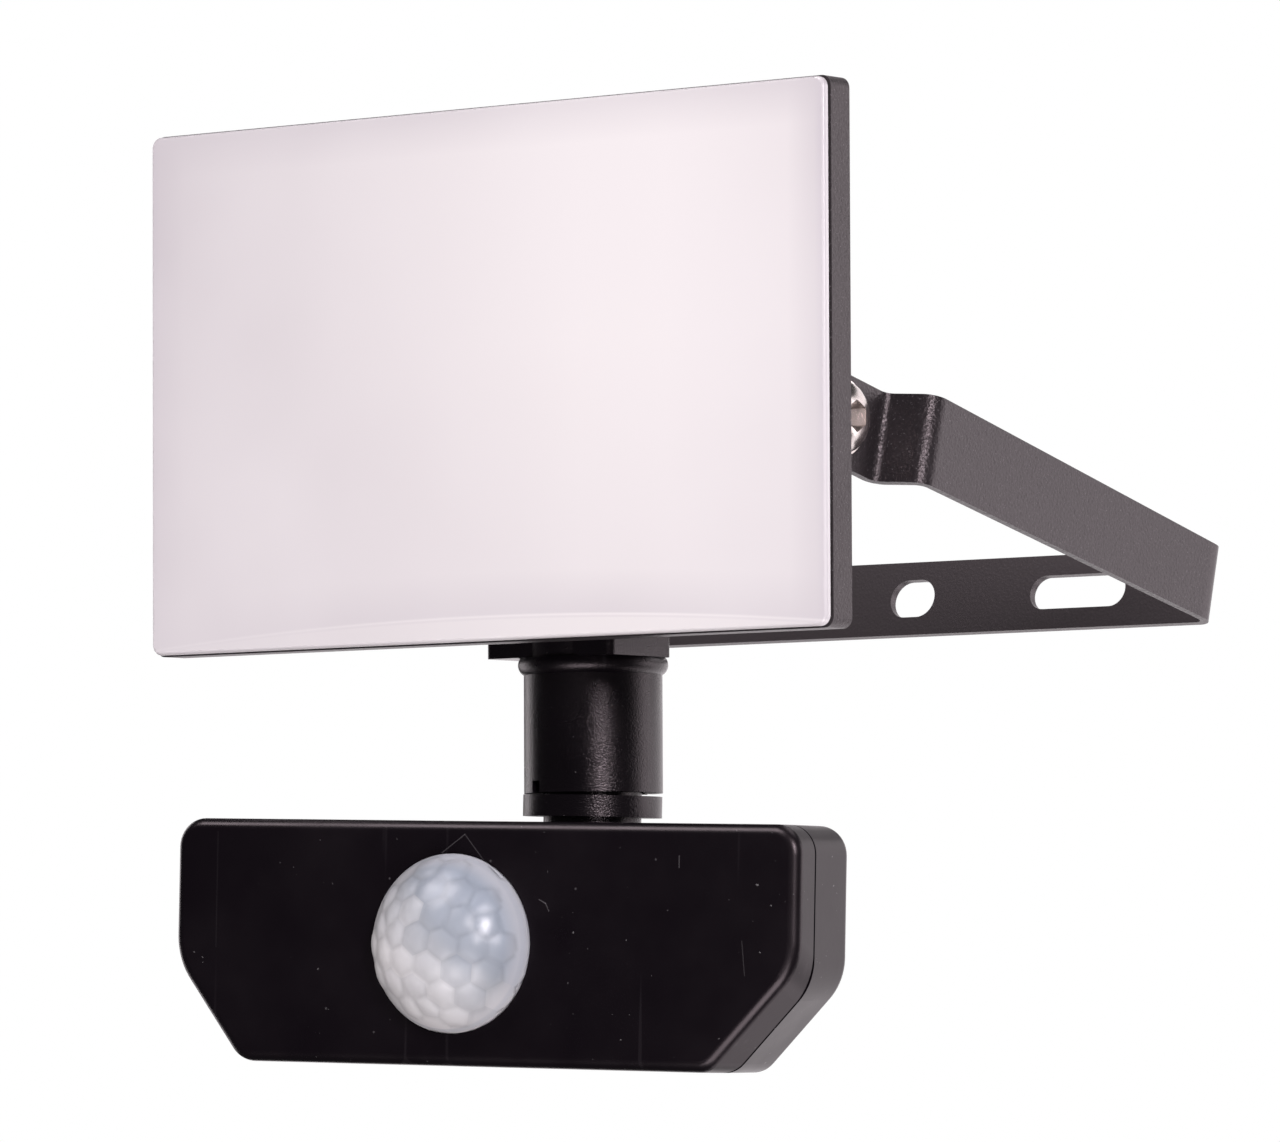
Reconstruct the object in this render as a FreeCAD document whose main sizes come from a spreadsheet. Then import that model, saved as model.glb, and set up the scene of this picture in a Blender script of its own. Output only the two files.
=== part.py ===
import FreeCAD, Part
import math
import os
import Sketcher

# Motion sensor floodlight: a flat LED lamp head on a folded wall bracket, with a
# swivelling motion sensor hanging from a neck under the lamp.
# Frame: origin at the middle of the bracket's wall face, +Y into the wall, +Z up,
# +X to the right of somebody who faces the lamp. Millimetres and degrees.

doc = FreeCAD.newDocument("Floodlight")
sheet = doc.addObject("Spreadsheet::Sheet", "Sizes")

# Driving dimensions
SIZES = {
    # How the head hangs
    "headTiltAngle": 14.1,
    "swivelLeanAngle": 1.6,
    "sensorPanAngle": 9.5,
    # Lamp front and cast housing
    "lampWidth": 117.2,
    "lampHeight": 72.0,
    "lampCorner": 1.5,
    "flangeBack": 0.9,
    "rimFront": 1.3,
    "rimBack": 5.3,
    "rimWall": 2.0,
    "diffuserLip": 3.2,
    "diffuserWall": 1.5,
    "lipGap": 0.2,
    "ledgeDepth": 3.6,
    "lightBoxWidth": 72.0,
    "lightBoxHeight": 56.0,
    "lightBoxBack": 8.0,
    "bodyFrontHalf": 41.0,
    "bodyBackHalf": 34.0,
    "bodyHeight": 64.0,
    "bodyWall": 6.0,
    "bodyBack": 33.0,
    "bodyCorner": 5.0,
    "driverHalf": 29.5,
    "driverFloor": 10.5,
    "finThick": 1.6,
    "finDepth": 4.2,
    "finPitch": 4.0,
    "finHeight": 58.0,
    "finInset": 3.6,
    "lugRadius": 6.6,
    # Tilt hinge
    "hingeBack": 20.4,
    "hingeDrop": 6.9,
    "hingeReach": 80.2,
    "hingeBore": 2.6,
    "hingeShank": 2.5,
    "washerHole": 2.55,
    "hingeHead": 4.85,
    "hingeHeadDepth": 2.6,
    "hingeSocket": 4.4,
    "hingeSocketDepth": 1.7,
    "hingeScrewLength": 12.0,
    "washerRadius": 5.2,
    "washerThick": 0.6,
    # Folded bracket
    "stripWidth": 12.3,
    "strapWidth": 10.8,
    "sheetThick": 1.2,
    "strapHalf": 52.5,
    "earFace": 45.2,
    "joggleNear": 9.2,
    "joggleFar": 10.7,
    "bendRadius": 1.5,
    "pivotHole": 2.55,
    "centreLong": 7.7,
    "centreWide": 5.5,
    "slotWide": 4.9,
    "slotLong": 16.35,
    "slotPitch": 57.7,
    # Neck
    "neckBack": 24.4,
    "blockWide": 21.85,
    "blockShift": -0.88,
    "blockFore": 8.75,
    "blockAft": 4.65,
    "blockTall": 5.3,
    "blockRound": 1.0,
    "neckScrewOut": 7.9,
    "collarRadius": 10.2,
    "collarTall": 2.5,
    "collarRound": 1.6,
    "sleeveRadius": 9.42,
    "sleeveTall": 18.3,
    "boreRadius": 7.1,
    "boreChamber": 8.0,
    "chamberTall": 3.4,
    "boreRoof": 3.4,
    "wireHole": 3.6,
    "notchWide": 1.68,
    "notchTall": 1.6,
    "notchAngle": 17.5,
    "swivelGap": 0.3,
    "ringRadius": 9.44,
    "ringTall": 2.9,
    "spigotRadius": 6.65,
    "spigotBore": 4.6,
    "spigotLip": 7.45,
    "spigotLipTall": 1.5,
    "spigotShank": 5.6,
    "stemReach": 5.4,
    "swivelNut": 8.4,
    "swivelNutTall": 3.24,
    "bossRadius": 6.65,
    "sealGroove": 1.1,
    "sealGap": 0.05,
    "pivotRise": 4.3,
    "sensorDrop": 38.9,
    # Sensor head
    "sensorWidth": 95.3,
    "sensorHeight": 32.6,
    "sensorFore": 30.0,
    "coverDepth": 4.8,
    "shellDepth": 14.7,
    "leftCut": 10.9,
    "rightCut": 13.5,
    "cutRise": 14.2,
    "coverDraftAngle": 24.9,
    "shellDraftAngle": -2.0,
    "topCorner": 3.9,
    "upperRound": 8.0,
    "lowerRound": 3.8,
    "frontEdge": 1.5,
    "shellWall": 1.8,
    "postShort": 3.96,
    "knobBoardInset": 2.7,
    "knobSlotRatio": 0.8,
    "shaftGap": 0.05,
    "podHalf": 24.0,
    "podBack": 13.0,
    "podFloor": 14.4,
    "podCorner": 4.0,
    "lensShift": 4.3,
    "lensRadius": 11.9,
    "lensRise": 7.4,
    "lensProud": 0.3,
    "lensWall": 0.8,
    "lensFlange": 13.4,
    "lensFlangeThick": 1.0,
    "lensGap": 0.15,
    "knobRadius": 4.2,
    "knobTall": 4.4,
    "knobGap": 0.3,
    "knobPitch": 13.5,
    "knobFore": 7.5,
    "knobShaft": 1.5,
    "knobShaftTall": 3.2,
    "knobSink": 0.8,
    "postRadius": 2.4,
    "postOut": 42.6,
    "postUp": 11.0,
    "postLow": 1.5,
    "smallScrew": 1.1,
    "smallHead": 2.1,
    "smallHeadTall": 1.5,
    # Rear cover and cable inlet
    "gasketThick": 0.6,
    "gasketInset": 8.0,
    "coverRibRatio": 0.6,
    "coverScrewLength": 12.0,
    "coverHead": 2.52,
    "driveRatio": 0.7,
    "driveThinRatio": 0.16,
    "coverThick": 2.4,
    "coverCorner": 4.0,
    "coverScrewInset": 3.9,
    "pillarRadius": 3.4,
    "glandRise": 17.0,
    "glandRadius": 5.8,
    "glandFlange": 8.0,
    "glandTall": 4.0,
    "glandNut": 7.2,
    "glandNutTall": 8.5,
    "glandHole": 3.4,
    "glandNeck": 5.22,
    "glandNeckTall": 5.1,
    "lockTall": 3.0,
    "glandSealHole": 2.04,
    "domeStart": 5.525,
    "domeFoot": 6.192,
    "domeTip": 4.464,
    "threadRatio": 0.98,
    # Boards
    "boardThick": 1.2,
    "boardGap": 1.0,
    "chipWide": 3.0,
    "chipThick": 0.7,
    "chipStepX": 15.0,
    "chipStepZ": 14.0,
    "transformerTall": 12.0,
    "coilRadius": 5.88,
    "coilTall": 13.5,
    "capacitorOut": 10.5,
    "capacitorRadius": 4.8,
    "terminalTall": 9.0,
    "terminalOut": 9.0,
    "terminalStep": 5.25,
    "bridgeGap": 2.1,
    "leadOut": 0.9,
    "leadRadius": 0.6,
    "relayDeep": 7.8,
    "cellRadius": 2.4,
    "driverStand": 3.0,
    # How far a cutting piece runs past what it cuts
    "overrun": 1.0,
    # Shanks against their holes: biting, and running free
    "gripRatio": 0.96,
    "freeRatio": 1.1,
}


class Measure:
    """One size, kept both as a number and as the formula that gives it."""

    def __init__(self, number, text):
        self.number = float(number)
        self.text = text

    def __add__(self, other):
        return Measure(self.number + value(other), "(%s + %s)" % (self.text, formula(other)))

    def __radd__(self, other):
        return measure(other) + self

    def __sub__(self, other):
        return Measure(self.number - value(other), "(%s - %s)" % (self.text, formula(other)))

    def __rsub__(self, other):
        return measure(other) - self

    def __mul__(self, other):
        return Measure(self.number * value(other), "(%s * %s)" % (self.text, formula(other)))

    def __rmul__(self, other):
        return measure(other) * self

    def __truediv__(self, other):
        return Measure(self.number / value(other), "(%s / %s)" % (self.text, formula(other)))

    def __neg__(self):
        return Measure(-self.number, "(0 - %s)" % self.text)


def value(item):
    return item.number if isinstance(item, Measure) else float(item)


def formula(item):
    return item.text if isinstance(item, Measure) else repr(float(item))


def measure(item):
    return item if isinstance(item, Measure) else Measure(item, repr(float(item)))


def slope(name):
    """Tangent of an angle of the table."""
    number = math.tan(math.radians(SIZES[name]))
    return Measure(number, "tan(Sizes.%s * 1 deg)" % name)


class Sizes:
    """Reads a driving dimension by its name."""

    def __getattr__(self, name):
        return Measure(SIZES[name], "Sizes." + name)


for row, (alias, number) in enumerate(SIZES.items(), start=1):
    sheet.set("A%d" % row, alias)
    sheet.set("B%d" % row, str(number))
    sheet.setAlias("B%d" % row, alias)
doc.recompute()

d = Sizes()
ZERO = measure(0)
HALF_WIDE = d.lampWidth / 2
HALF_TALL = d.lampHeight / 2
BLOCK_DROP = d.bodyHeight / 2 + d.blockTall
DRIVER_TALL = d.bodyHeight - 2 * d.bodyWall
# The inlet stands this far below the middle, at a set height over the room's floor
GLAND_DROP = DRIVER_TALL / 2 - d.glandRise
COVER_SCREW_OUT = d.driverHalf - d.coverScrewInset
COVER_SCREW_UP = DRIVER_TALL / 2 - d.coverScrewInset
AXES = {"x": (1, 0, 0), "y": (0, 1, 0), "z": (0, 0, 1)}
pieces = []


def bind(item, name, size):
    item.setExpression(name, measure(size).text)


def place(x, y, z, axis="z", angle=ZERO):
    """Formula of a placement: a shift after a turn about one axis."""
    shift = "vector(%s; %s; %s)" % (formula(x), formula(y), formula(z))
    turn = "rotation(vector(%d; %d; %d); %s)" % (AXES[axis] + (formula(angle),))
    return "placement(%s; %s)" % (shift, turn)


# Frames of the lamp, the neck and the sensor
WALL = place(ZERO, ZERO, ZERO)
HINGE = place(ZERO, -d.hingeReach, ZERO, "x", d.headTiltAngle)
LAMP = HINGE + " * " + place(ZERO, -d.hingeBack, d.hingeDrop)
NECK_IN_LAMP = place(ZERO, d.neckBack, -BLOCK_DROP)
NECK = LAMP + " * " + NECK_IN_LAMP
# The sensor leans a little in its loose swivel, about a point inside the sleeve
PIVOT_DROP = d.sleeveTall - d.pivotRise
PIVOT = NECK + " * " + place(ZERO, ZERO, -PIVOT_DROP, "y", d.swivelLeanAngle)
STEM = PIVOT + " * " + place(ZERO, ZERO, PIVOT_DROP)
SENSOR = STEM + " * " + place(ZERO, ZERO, -d.sensorDrop, "z", d.sensorPanAngle)
# Tools stand in the frame of the piece that they shape
HERE = None


def put(item, frame, local=None):
    text = " * ".join([part for part in (frame, local) if part])
    if text:
        item.setExpression("Placement", text)


def piece(item, frame=None):
    """Marks an object as a sub-part, with its frame if it has no placement yet."""
    item.Label = item.Name
    if frame:
        put(item, frame)
    pieces.append(item)
    return item


def box(name, x, y, z, frame=HERE):
    """Block between the two limits on each axis."""
    made = doc.addObject("Part::Box", name)
    bind(made, "Length", x[1] - x[0])
    bind(made, "Width", y[1] - y[0])
    bind(made, "Height", z[1] - z[0])
    put(made, frame, place(x[0], y[0], z[0]))
    return made


def turned(axis):
    """Axis and angle that lay a cylinder along x or y, or leave it along z."""
    return {"x": ("y", 90), "y": ("x", -90), "z": ("z", 0)}[axis]


def rod(name, axis, centre, radius, length, frame=HERE):
    """Cylinder that starts at centre and runs along one axis."""
    made = doc.addObject("Part::Cylinder", name)
    bind(made, "Radius", radius)
    bind(made, "Height", length)
    put(made, frame, place(*centre, *turned(axis)))
    return made


def cone(name, axis, centre, first, last, length, frame=HERE):
    made = doc.addObject("Part::Cone", name)
    bind(made, "Radius1", first)
    bind(made, "Radius2", last)
    bind(made, "Height", length)
    put(made, frame, place(*centre, *turned(axis)))
    return made


def dome(name, side, centre, radius, rise):
    """Flattened half ball that bulges to the right, or to the left if side is below zero."""
    made = doc.addObject("Part::Ellipsoid", name)
    bind(made, "Radius1", rise)
    bind(made, "Radius2", radius)
    bind(made, "Radius3", radius)
    made.Angle1 = 0 if side > 0 else -90
    made.Angle2 = 90 if side > 0 else 0
    put(made, HERE, place(*centre, *turned("x")))
    return made


def hexagon(name, axis, centre, radius, length, frame=HERE):
    made = doc.addObject("Part::Prism", name)
    made.Polygon = 6
    bind(made, "Circumradius", radius)
    bind(made, "Height", length)
    put(made, frame, place(*centre, *turned(axis)))
    return made


def fuse(name, *items):
    made = doc.addObject("Part::MultiFuse", name)
    made.Shapes = list(items)
    made.Refine = True
    return made


def cut(name, base, *tools):
    made = doc.addObject("Part::Cut", name)
    made.Base = base
    made.Tool = tools[0] if len(tools) == 1 else fuse(name + "_tools", *tools)
    return made


def group(name, frame, items):
    made = doc.addObject("Part::Compound", name)
    made.Links = list(items)
    return piece(made, frame)


def body(name):
    return doc.addObject("PartDesign::Body", name)


def origin_plane(made, role):
    return [item for item in made.Origin.OriginFeatures if item.Role == role][0]


def sketch(made, name, role, height=ZERO):
    """Empty sketch on one of the body's own planes, raised along its normal."""
    drawn = made.newObject("Sketcher::SketchObject", name)
    drawn.AttachmentSupport = [(origin_plane(made, role), "")]
    drawn.MapMode = "FlatFace"
    bind(drawn, "AttachmentOffset.Base.z", height)
    return drawn


def pin_across(drawn, line, spot, x):
    """Holds one point of the sketch at a distance across."""
    across = drawn.addConstraint(Sketcher.Constraint("DistanceX", -1, 1, line, spot, value(x)))
    drawn.setExpression("Constraints[%d]" % across, formula(x))


def pin(drawn, line, spot, x, y):
    """Holds one point of the sketch at two formulas."""
    pin_across(drawn, line, spot, x)
    along = drawn.addConstraint(Sketcher.Constraint("DistanceY", -1, 1, line, spot, value(y)))
    drawn.setExpression("Constraints[%d]" % along, formula(y))


def outline(drawn, points):
    """Closed outline of straight lines through the points."""
    spots = [FreeCAD.Vector(value(x), value(y), 0) for x, y in points]
    first = drawn.GeometryCount
    for here, there in zip(spots, spots[1:] + spots[:1]):
        drawn.addGeometry(Part.LineSegment(here, there), False)
    count = len(spots)
    for index in range(count):
        after = first + (index + 1) % count
        drawn.addConstraint(Sketcher.Constraint("Coincident", first + index, 2, after, 1))
    for index, (x, y) in enumerate(points):
        pin(drawn, first + index, 1, x, y)


def rectangle(drawn, x, y):
    outline(drawn, [(x[0], y[0]), (x[1], y[0]), (x[1], y[1]), (x[0], y[1])])


def circle(drawn, x, y, radius):
    centre = FreeCAD.Vector(value(x), value(y), 0)
    made = drawn.addGeometry(Part.Circle(centre, FreeCAD.Vector(0, 0, 1), value(radius)), False)
    size = drawn.addConstraint(Sketcher.Constraint("Radius", made, value(radius)))
    drawn.setExpression("Constraints[%d]" % size, formula(radius))
    pin(drawn, made, 3, x, y)


def grow(made, name, drawn, length, back=True):
    """Pad along the sketch's normal, or against it."""
    added = made.newObject("PartDesign::Pad", name)
    added.Profile = drawn
    bind(added, "Length", length)
    added.Reversed = back
    return added


def sink(made, name, drawn, length, onward=False):
    """Pocket towards the back or the top when onward, else towards the front or down."""
    doc.recompute()
    before = made.Shape.Volume
    taken = made.newObject("PartDesign::Pocket", name)
    taken.Profile = drawn
    bind(taken, "Length", length)
    upright = drawn.AttachmentSupport[0][0].Role == "XZ_Plane"
    taken.Reversed = onward != upright
    doc.recompute()
    if made.Shape.Volume >= before:
        raise ValueError(name + " cuts nothing")
    return taken


def loft(made, name, first, last):
    added = made.newObject("PartDesign::AdditiveLoft", name)
    added.Profile = first
    added.Sections = [last]
    added.Ruled = True
    return added


def edges_where(item, wanted):
    """Names of the straight edges for which wanted(start, end) holds."""
    names = []
    for index, edge in enumerate(item.Shape.Edges, start=1):
        if len(edge.Vertexes) < 2:
            continue
        start, end = edge.Vertexes[0].Point, edge.Vertexes[1].Point
        if near(edge.Length, start.distanceToPoint(end)) and wanted(start, end):
            names.append("Edge%d" % index)
    return names


def soften(made, name, radius, wanted, kind="PartDesign::Fillet"):
    """Rounds or bevels the chosen edges of the body's last feature."""
    doc.recompute()
    base = made.Tip
    names = edges_where(base, wanted)
    if not names:
        raise ValueError(name + " finds no edge")
    softened = made.newObject(kind, name)
    softened.Base = (base, names)
    bind(softened, "Radius" if kind.endswith("Fillet") else "Size", radius)
    doc.recompute()
    return softened


def near(one, other, room=0.01):
    return abs(one - other) < room


def along_y(start, end):
    return near(start.x, end.x) and near(start.z, end.z)


def along_z(start, end):
    return near(start.x, end.x) and near(start.y, end.y)


def xz_rectangle(made, name, depth, half_wide, low, high):
    """Rectangle across the lamp or sensor, at a depth behind its front."""
    drawn = sketch(made, name, "XZ_Plane", -depth)
    rectangle(drawn, (-half_wide, half_wide), (low, high))
    return drawn



def rounded_plate(name, half_wide, half_tall, front, thick, corner):
    """Plate across the lamp with four round corners."""
    made = body(name)
    drawn = xz_rectangle(made, name + "_outline", front, half_wide, -half_tall, half_tall)
    grow(made, name + "_plate", drawn, thick)
    soften(made, name + "_corners", corner, along_y)
    return made


# Cast housing: a thin rim plate that carries the diffuser, and a deeper rear body
# that holds the driver, with cooling fins beside it
def make_housing():
    made = rounded_plate("housing", HALF_WIDE, HALF_TALL, d.rimFront,
                         d.rimBack - d.rimFront, d.lampCorner)
    front = xz_rectangle(made, "housing_body_front", d.rimBack, d.bodyFrontHalf,
                         -d.bodyHeight / 2, d.bodyHeight / 2)
    rear = xz_rectangle(made, "housing_body_rear", d.bodyBack, d.bodyBackHalf,
                        -d.bodyHeight / 2, d.bodyHeight / 2)
    loft(made, "housing_body", front, rear)
    behind = value(d.rimBack)
    far = value(d.bodyBack)
    soften(made, "housing_body_corners", d.bodyCorner,
           lambda a, b: near(a.z, b.z) and near(min(a.y, b.y), behind) and near(max(a.y, b.y), far))
    soften(made, "housing_body_back_edge", d.finThick,
           lambda a, b: near(a.y, far) and near(b.y, far))
    make_lugs(made)
    make_fins(made)
    make_front_recess(made)
    make_driver_room(made)
    make_housing_holes(made)
    return piece(made, LAMP)


def make_lugs(made):
    """Round lugs on both sides that the bracket's ears turn on."""
    drawn = sketch(made, "housing_lug_outline", "YZ_Plane")
    circle(drawn, d.hingeBack, -d.hingeDrop, d.lugRadius)
    added = made.newObject("PartDesign::Pad", "housing_lugs")
    added.Profile = drawn
    bind(added, "Length", 2 * (d.earFace - d.sheetThick - d.washerThick))
    added.SideType = "Symmetric"


def make_fins(made):
    """Upright fins on the back of the rim plate, beside the rear body."""
    drawn = sketch(made, "housing_fin_outline", "XZ_Plane", -d.rimBack)
    low = -d.finHeight / 2
    high = d.finHeight / 2
    for side in (-1, 1):
        for step in range(3):
            edge = HALF_WIDE - d.finInset - d.finPitch * step
            limits = sorted([side * edge, side * (edge - d.finThick)], key=value)
            rectangle(drawn, limits, (low, high))
    grow(made, "housing_fins", drawn, d.finDepth)


def make_front_recess(made):
    """Shallow recess for the diffuser's lip, and the light box behind it."""
    recess_wide = HALF_WIDE - d.rimWall
    recess_tall = HALF_TALL - d.rimWall
    drawn = xz_rectangle(made, "housing_recess_outline", d.rimFront, recess_wide,
                         -recess_tall, recess_tall)
    sink(made, "housing_recess", drawn, d.ledgeDepth - d.rimFront, True)
    inner = xz_rectangle(made, "housing_light_outline", d.ledgeDepth, d.lightBoxWidth / 2,
                         -d.lightBoxHeight / 2, d.lightBoxHeight / 2)
    sink(made, "housing_light_box", inner, d.lightBoxBack - d.ledgeDepth, True)


def make_driver_room(made):
    """Room for the driver, open at the back, with pillars for the cover's screws."""
    drawn = xz_rectangle(made, "housing_room_outline", d.bodyBack, d.driverHalf,
                         -DRIVER_TALL / 2, DRIVER_TALL / 2)
    sink(made, "housing_room", drawn, d.bodyBack - d.driverFloor)
    posts = sketch(made, "housing_pillar_outline", "XZ_Plane", -d.driverFloor)
    for side in (-1, 1):
        for rise in (-1, 1):
            circle(posts, side * COVER_SCREW_OUT, rise * COVER_SCREW_UP, d.pillarRadius)
    grow(made, "housing_pillars", posts, d.bodyBack - d.driverFloor)


def make_housing_holes(made):
    """Screw holes in the pillars and lugs, and the two ways for the wires."""
    screws = sketch(made, "housing_screw_outline", "XZ_Plane", -d.bodyBack)
    for side in (-1, 1):
        for rise in (-1, 1):
            circle(screws, side * COVER_SCREW_OUT, rise * COVER_SCREW_UP, d.smallScrew)
    sink(made, "housing_screw_holes", screws, d.bodyBack - d.driverFloor - d.sheetThick)
    wires = sketch(made, "housing_wire_outline", "XZ_Plane", -d.driverFloor)
    circle(wires, ZERO, DRIVER_TALL / 2 - 2 * d.wireHole, d.wireHole / 2)
    sink(made, "housing_wire_hole", wires, d.driverFloor - d.lightBoxBack)
    pivot = sketch(made, "housing_pivot_outline", "YZ_Plane")
    circle(pivot, d.hingeBack, -d.hingeDrop, d.hingeShank)
    bore = made.newObject("PartDesign::Pocket", "housing_pivot_bore")
    bore.Profile = pivot
    bore.SideType = "Symmetric"
    bind(bore, "Length", 2 * d.earFace)
    neck = sketch(made, "housing_neck_outline", "XY_Plane", -BLOCK_DROP)
    circle(neck, ZERO, d.neckBack, d.wireHole)
    for side in (-1, 1):
        circle(neck, d.blockShift + side * d.neckScrewOut, d.neckBack, d.smallScrew)
    sink(made, "housing_neck_holes", neck, BLOCK_DROP - DRIVER_TALL / 2 + d.overrun, True)


# Opal diffuser: a shallow tray whose flange covers the rim
def make_diffuser():
    made = rounded_plate("diffuser", HALF_WIDE - d.lipGap, HALF_TALL - d.lipGap, ZERO,
                         d.flangeBack, d.lampCorner)
    lip_wide = HALF_WIDE - d.rimWall - d.lipGap
    lip_tall = HALF_TALL - d.rimWall - d.lipGap
    lip = xz_rectangle(made, "diffuser_lip_outline", d.flangeBack, lip_wide, -lip_tall, lip_tall)
    grow(made, "diffuser_lip", lip, d.diffuserLip - d.flangeBack)
    inner = xz_rectangle(made, "diffuser_inner_outline", d.diffuserLip, lip_wide - d.diffuserWall,
                         -(lip_tall - d.diffuserWall), lip_tall - d.diffuserWall)
    sink(made, "diffuser_inner", inner, d.diffuserLip - d.diffuserWall)
    soften(made, "diffuser_front_edge", d.flangeBack / 2,
           lambda a, b: near(a.y, 0) and near(b.y, 0))
    return piece(made, LAMP)


def ring_plate(name, front, thick, outer, inner, corner):
    """Flat frame between two rectangles."""
    made = rounded_plate(name, outer[0], outer[1], front, thick, corner)
    hole = xz_rectangle(made, name + "_hole_outline", front, inner[0], -inner[1], inner[1])
    sink(made, name + "_hole", hole, thick, True)
    return piece(made, LAMP)


def make_led_pieces():
    """Light board on the floor of the light box, with its chips and leads."""
    back = d.lightBoxBack
    front = back - d.boardThick
    half_wide = d.lightBoxWidth / 2 - d.boardGap
    half_tall = d.lightBoxHeight / 2 - d.boardGap
    made = rounded_plate("led_board", half_wide, half_tall, front, d.boardThick, d.lampCorner)
    holes = sketch(made, "led_board_hole_outline", "XZ_Plane", -back)
    for side in (-1, 1):
        circle(holes, side * (half_wide - 2 * d.smallHead), ZERO, d.smallScrew)
    sink(made, "led_board_holes", holes, d.boardThick)
    piece(made, LAMP)
    chips = []
    for column in range(4):
        for line in range(3):
            x = (column - 1.5) * d.chipStepX
            z = (line - 1) * d.chipStepZ
            half = d.chipWide / 2
            chips.append(box("led_chip_%d_%d" % (column, line), (x - half, x + half),
                             (front - d.chipThick, front), (z - half, z + half)))
    group("led_chips", LAMP, chips)
    screws = []
    for side, tag in ((-1, "left"), (1, "right")):
        at = side * (half_wide - 2 * d.smallHead)
        shank = rod("led_screw_shank_" + tag, "y", (at, front - d.smallHeadTall / 2, ZERO),
                    d.smallScrew * d.gripRatio, d.boardThick + d.smallHeadTall / 2)
        head = rod("led_screw_head_" + tag, "y", (at, front - d.smallHeadTall, ZERO),
                   d.smallHead, d.smallHeadTall)
        screws.append(fuse("led_screw_" + tag, shank, head))
    group("led_board_screws", LAMP, screws)


def make_driver():
    """Driver board on the pillars' floor, with its tall components."""
    front = d.driverFloor + d.driverStand
    back = front + d.boardThick
    half_wide = COVER_SCREW_OUT - d.pillarRadius - d.boardGap
    half_tall = DRIVER_TALL / 2 - d.boardGap
    box("driver_board_plate", (-half_wide, half_wide), (front, back), (-half_tall, half_tall))
    feet = []
    for side in (-1, 1):
        for rise in (-1, 1):
            x = side * (half_wide - d.pillarRadius)
            z = rise * (half_tall - d.pillarRadius)
            feet.append(rod("driver_foot_%d_%d" % (side + 1, rise + 1), "y",
                            (x, d.driverFloor, z), d.smallHead, d.driverStand))
    piece(fuse("driver_board", doc.driver_board_plate, *feet), LAMP)
    wide = d.chipStepX / 2
    low = -half_tall + d.boardGap
    core = box("transformer_core", (-2 * wide, ZERO), (back, back + d.transformerTall),
               (low, low + d.chipStepZ))
    coil = rod("transformer_coil", "y", (-wide, back, low + d.chipStepZ / 2),
               d.coilRadius, d.coilTall)
    piece(fuse("driver_transformer", core, coil), LAMP)
    piece(rod("driver_capacitor", "y", (d.capacitorOut, back, -half_tall / 2), d.capacitorRadius,
              d.chipStepZ, LAMP))
    ledge = half_tall - d.terminalTall
    bridge_top = ledge - d.bridgeGap
    piece(box("driver_bridge", (-wide, wide), (back, back + d.chipWide),
              (bridge_top - 2 * d.chipWide, bridge_top), LAMP))
    blocks = box("terminal_block", (-wide, d.terminalOut), (back, back + d.terminalTall),
                 (ledge, half_tall))
    ways = []
    for step in range(3):
        x = (step - 1) * d.terminalStep
        ways.append(rod("terminal_way_%d" % step, "y",
                        (x, back + d.chipWide, half_tall - d.terminalTall / 2),
                        d.smallScrew, d.terminalTall))
    piece(cut("driver_terminals", blocks, *ways), LAMP)
    leads = []
    for side in (-1, 1):
        leads.append(rod("led_lead_%d" % (side + 1), "y",
                         (side * d.leadOut, d.lightBoxBack, DRIVER_TALL / 2 - 2 * d.wireHole),
                         d.leadRadius, front - d.lightBoxBack))
    group("led_leads", LAMP, leads)


def screw(name, axis, at, radius, length, head, head_tall, outward=1):
    """Round-headed screw: its head outside the face at the start, its shank inside."""
    x, y, z = at
    shift = {"x": (outward, 0, 0), "y": (0, outward, 0), "z": (0, 0, outward)}[axis]
    start = [at[i] + (ZERO if shift[i] > 0 else -length * abs(shift[i])) for i in range(3)]
    shank_at = [at[i] - length * shift[i] if shift[i] > 0 else at[i] for i in range(3)]
    head_at = [at[i] if shift[i] >= 0 else at[i] + head_tall * shift[i] for i in range(3)]
    shank = rod(name + "_shank", axis, shank_at, radius, length)
    top = rod(name + "_head", axis, head_at, head, head_tall)
    slot = box(name + "_slot", *[slot_limits(i, axis, at, head, head_tall, outward)
                                 for i in range(3)])
    return cut(name, fuse(name + "_solid", shank, top), slot)


def slot_limits(index, axis, at, head, head_tall, outward):
    """Limits of the driver slot across a screw head, on one axis."""
    along = "xyz".index(axis)
    if index == along:
        near_end = at[index] + head_tall * outward / 2
        far_end = at[index] + head_tall * outward * d.freeRatio
        return sorted([near_end, far_end], key=value)
    wide = head * (d.driveThinRatio if index == (along + 1) % 3 else d.driveRatio)
    return [at[index] - wide, at[index] + wide]


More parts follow.
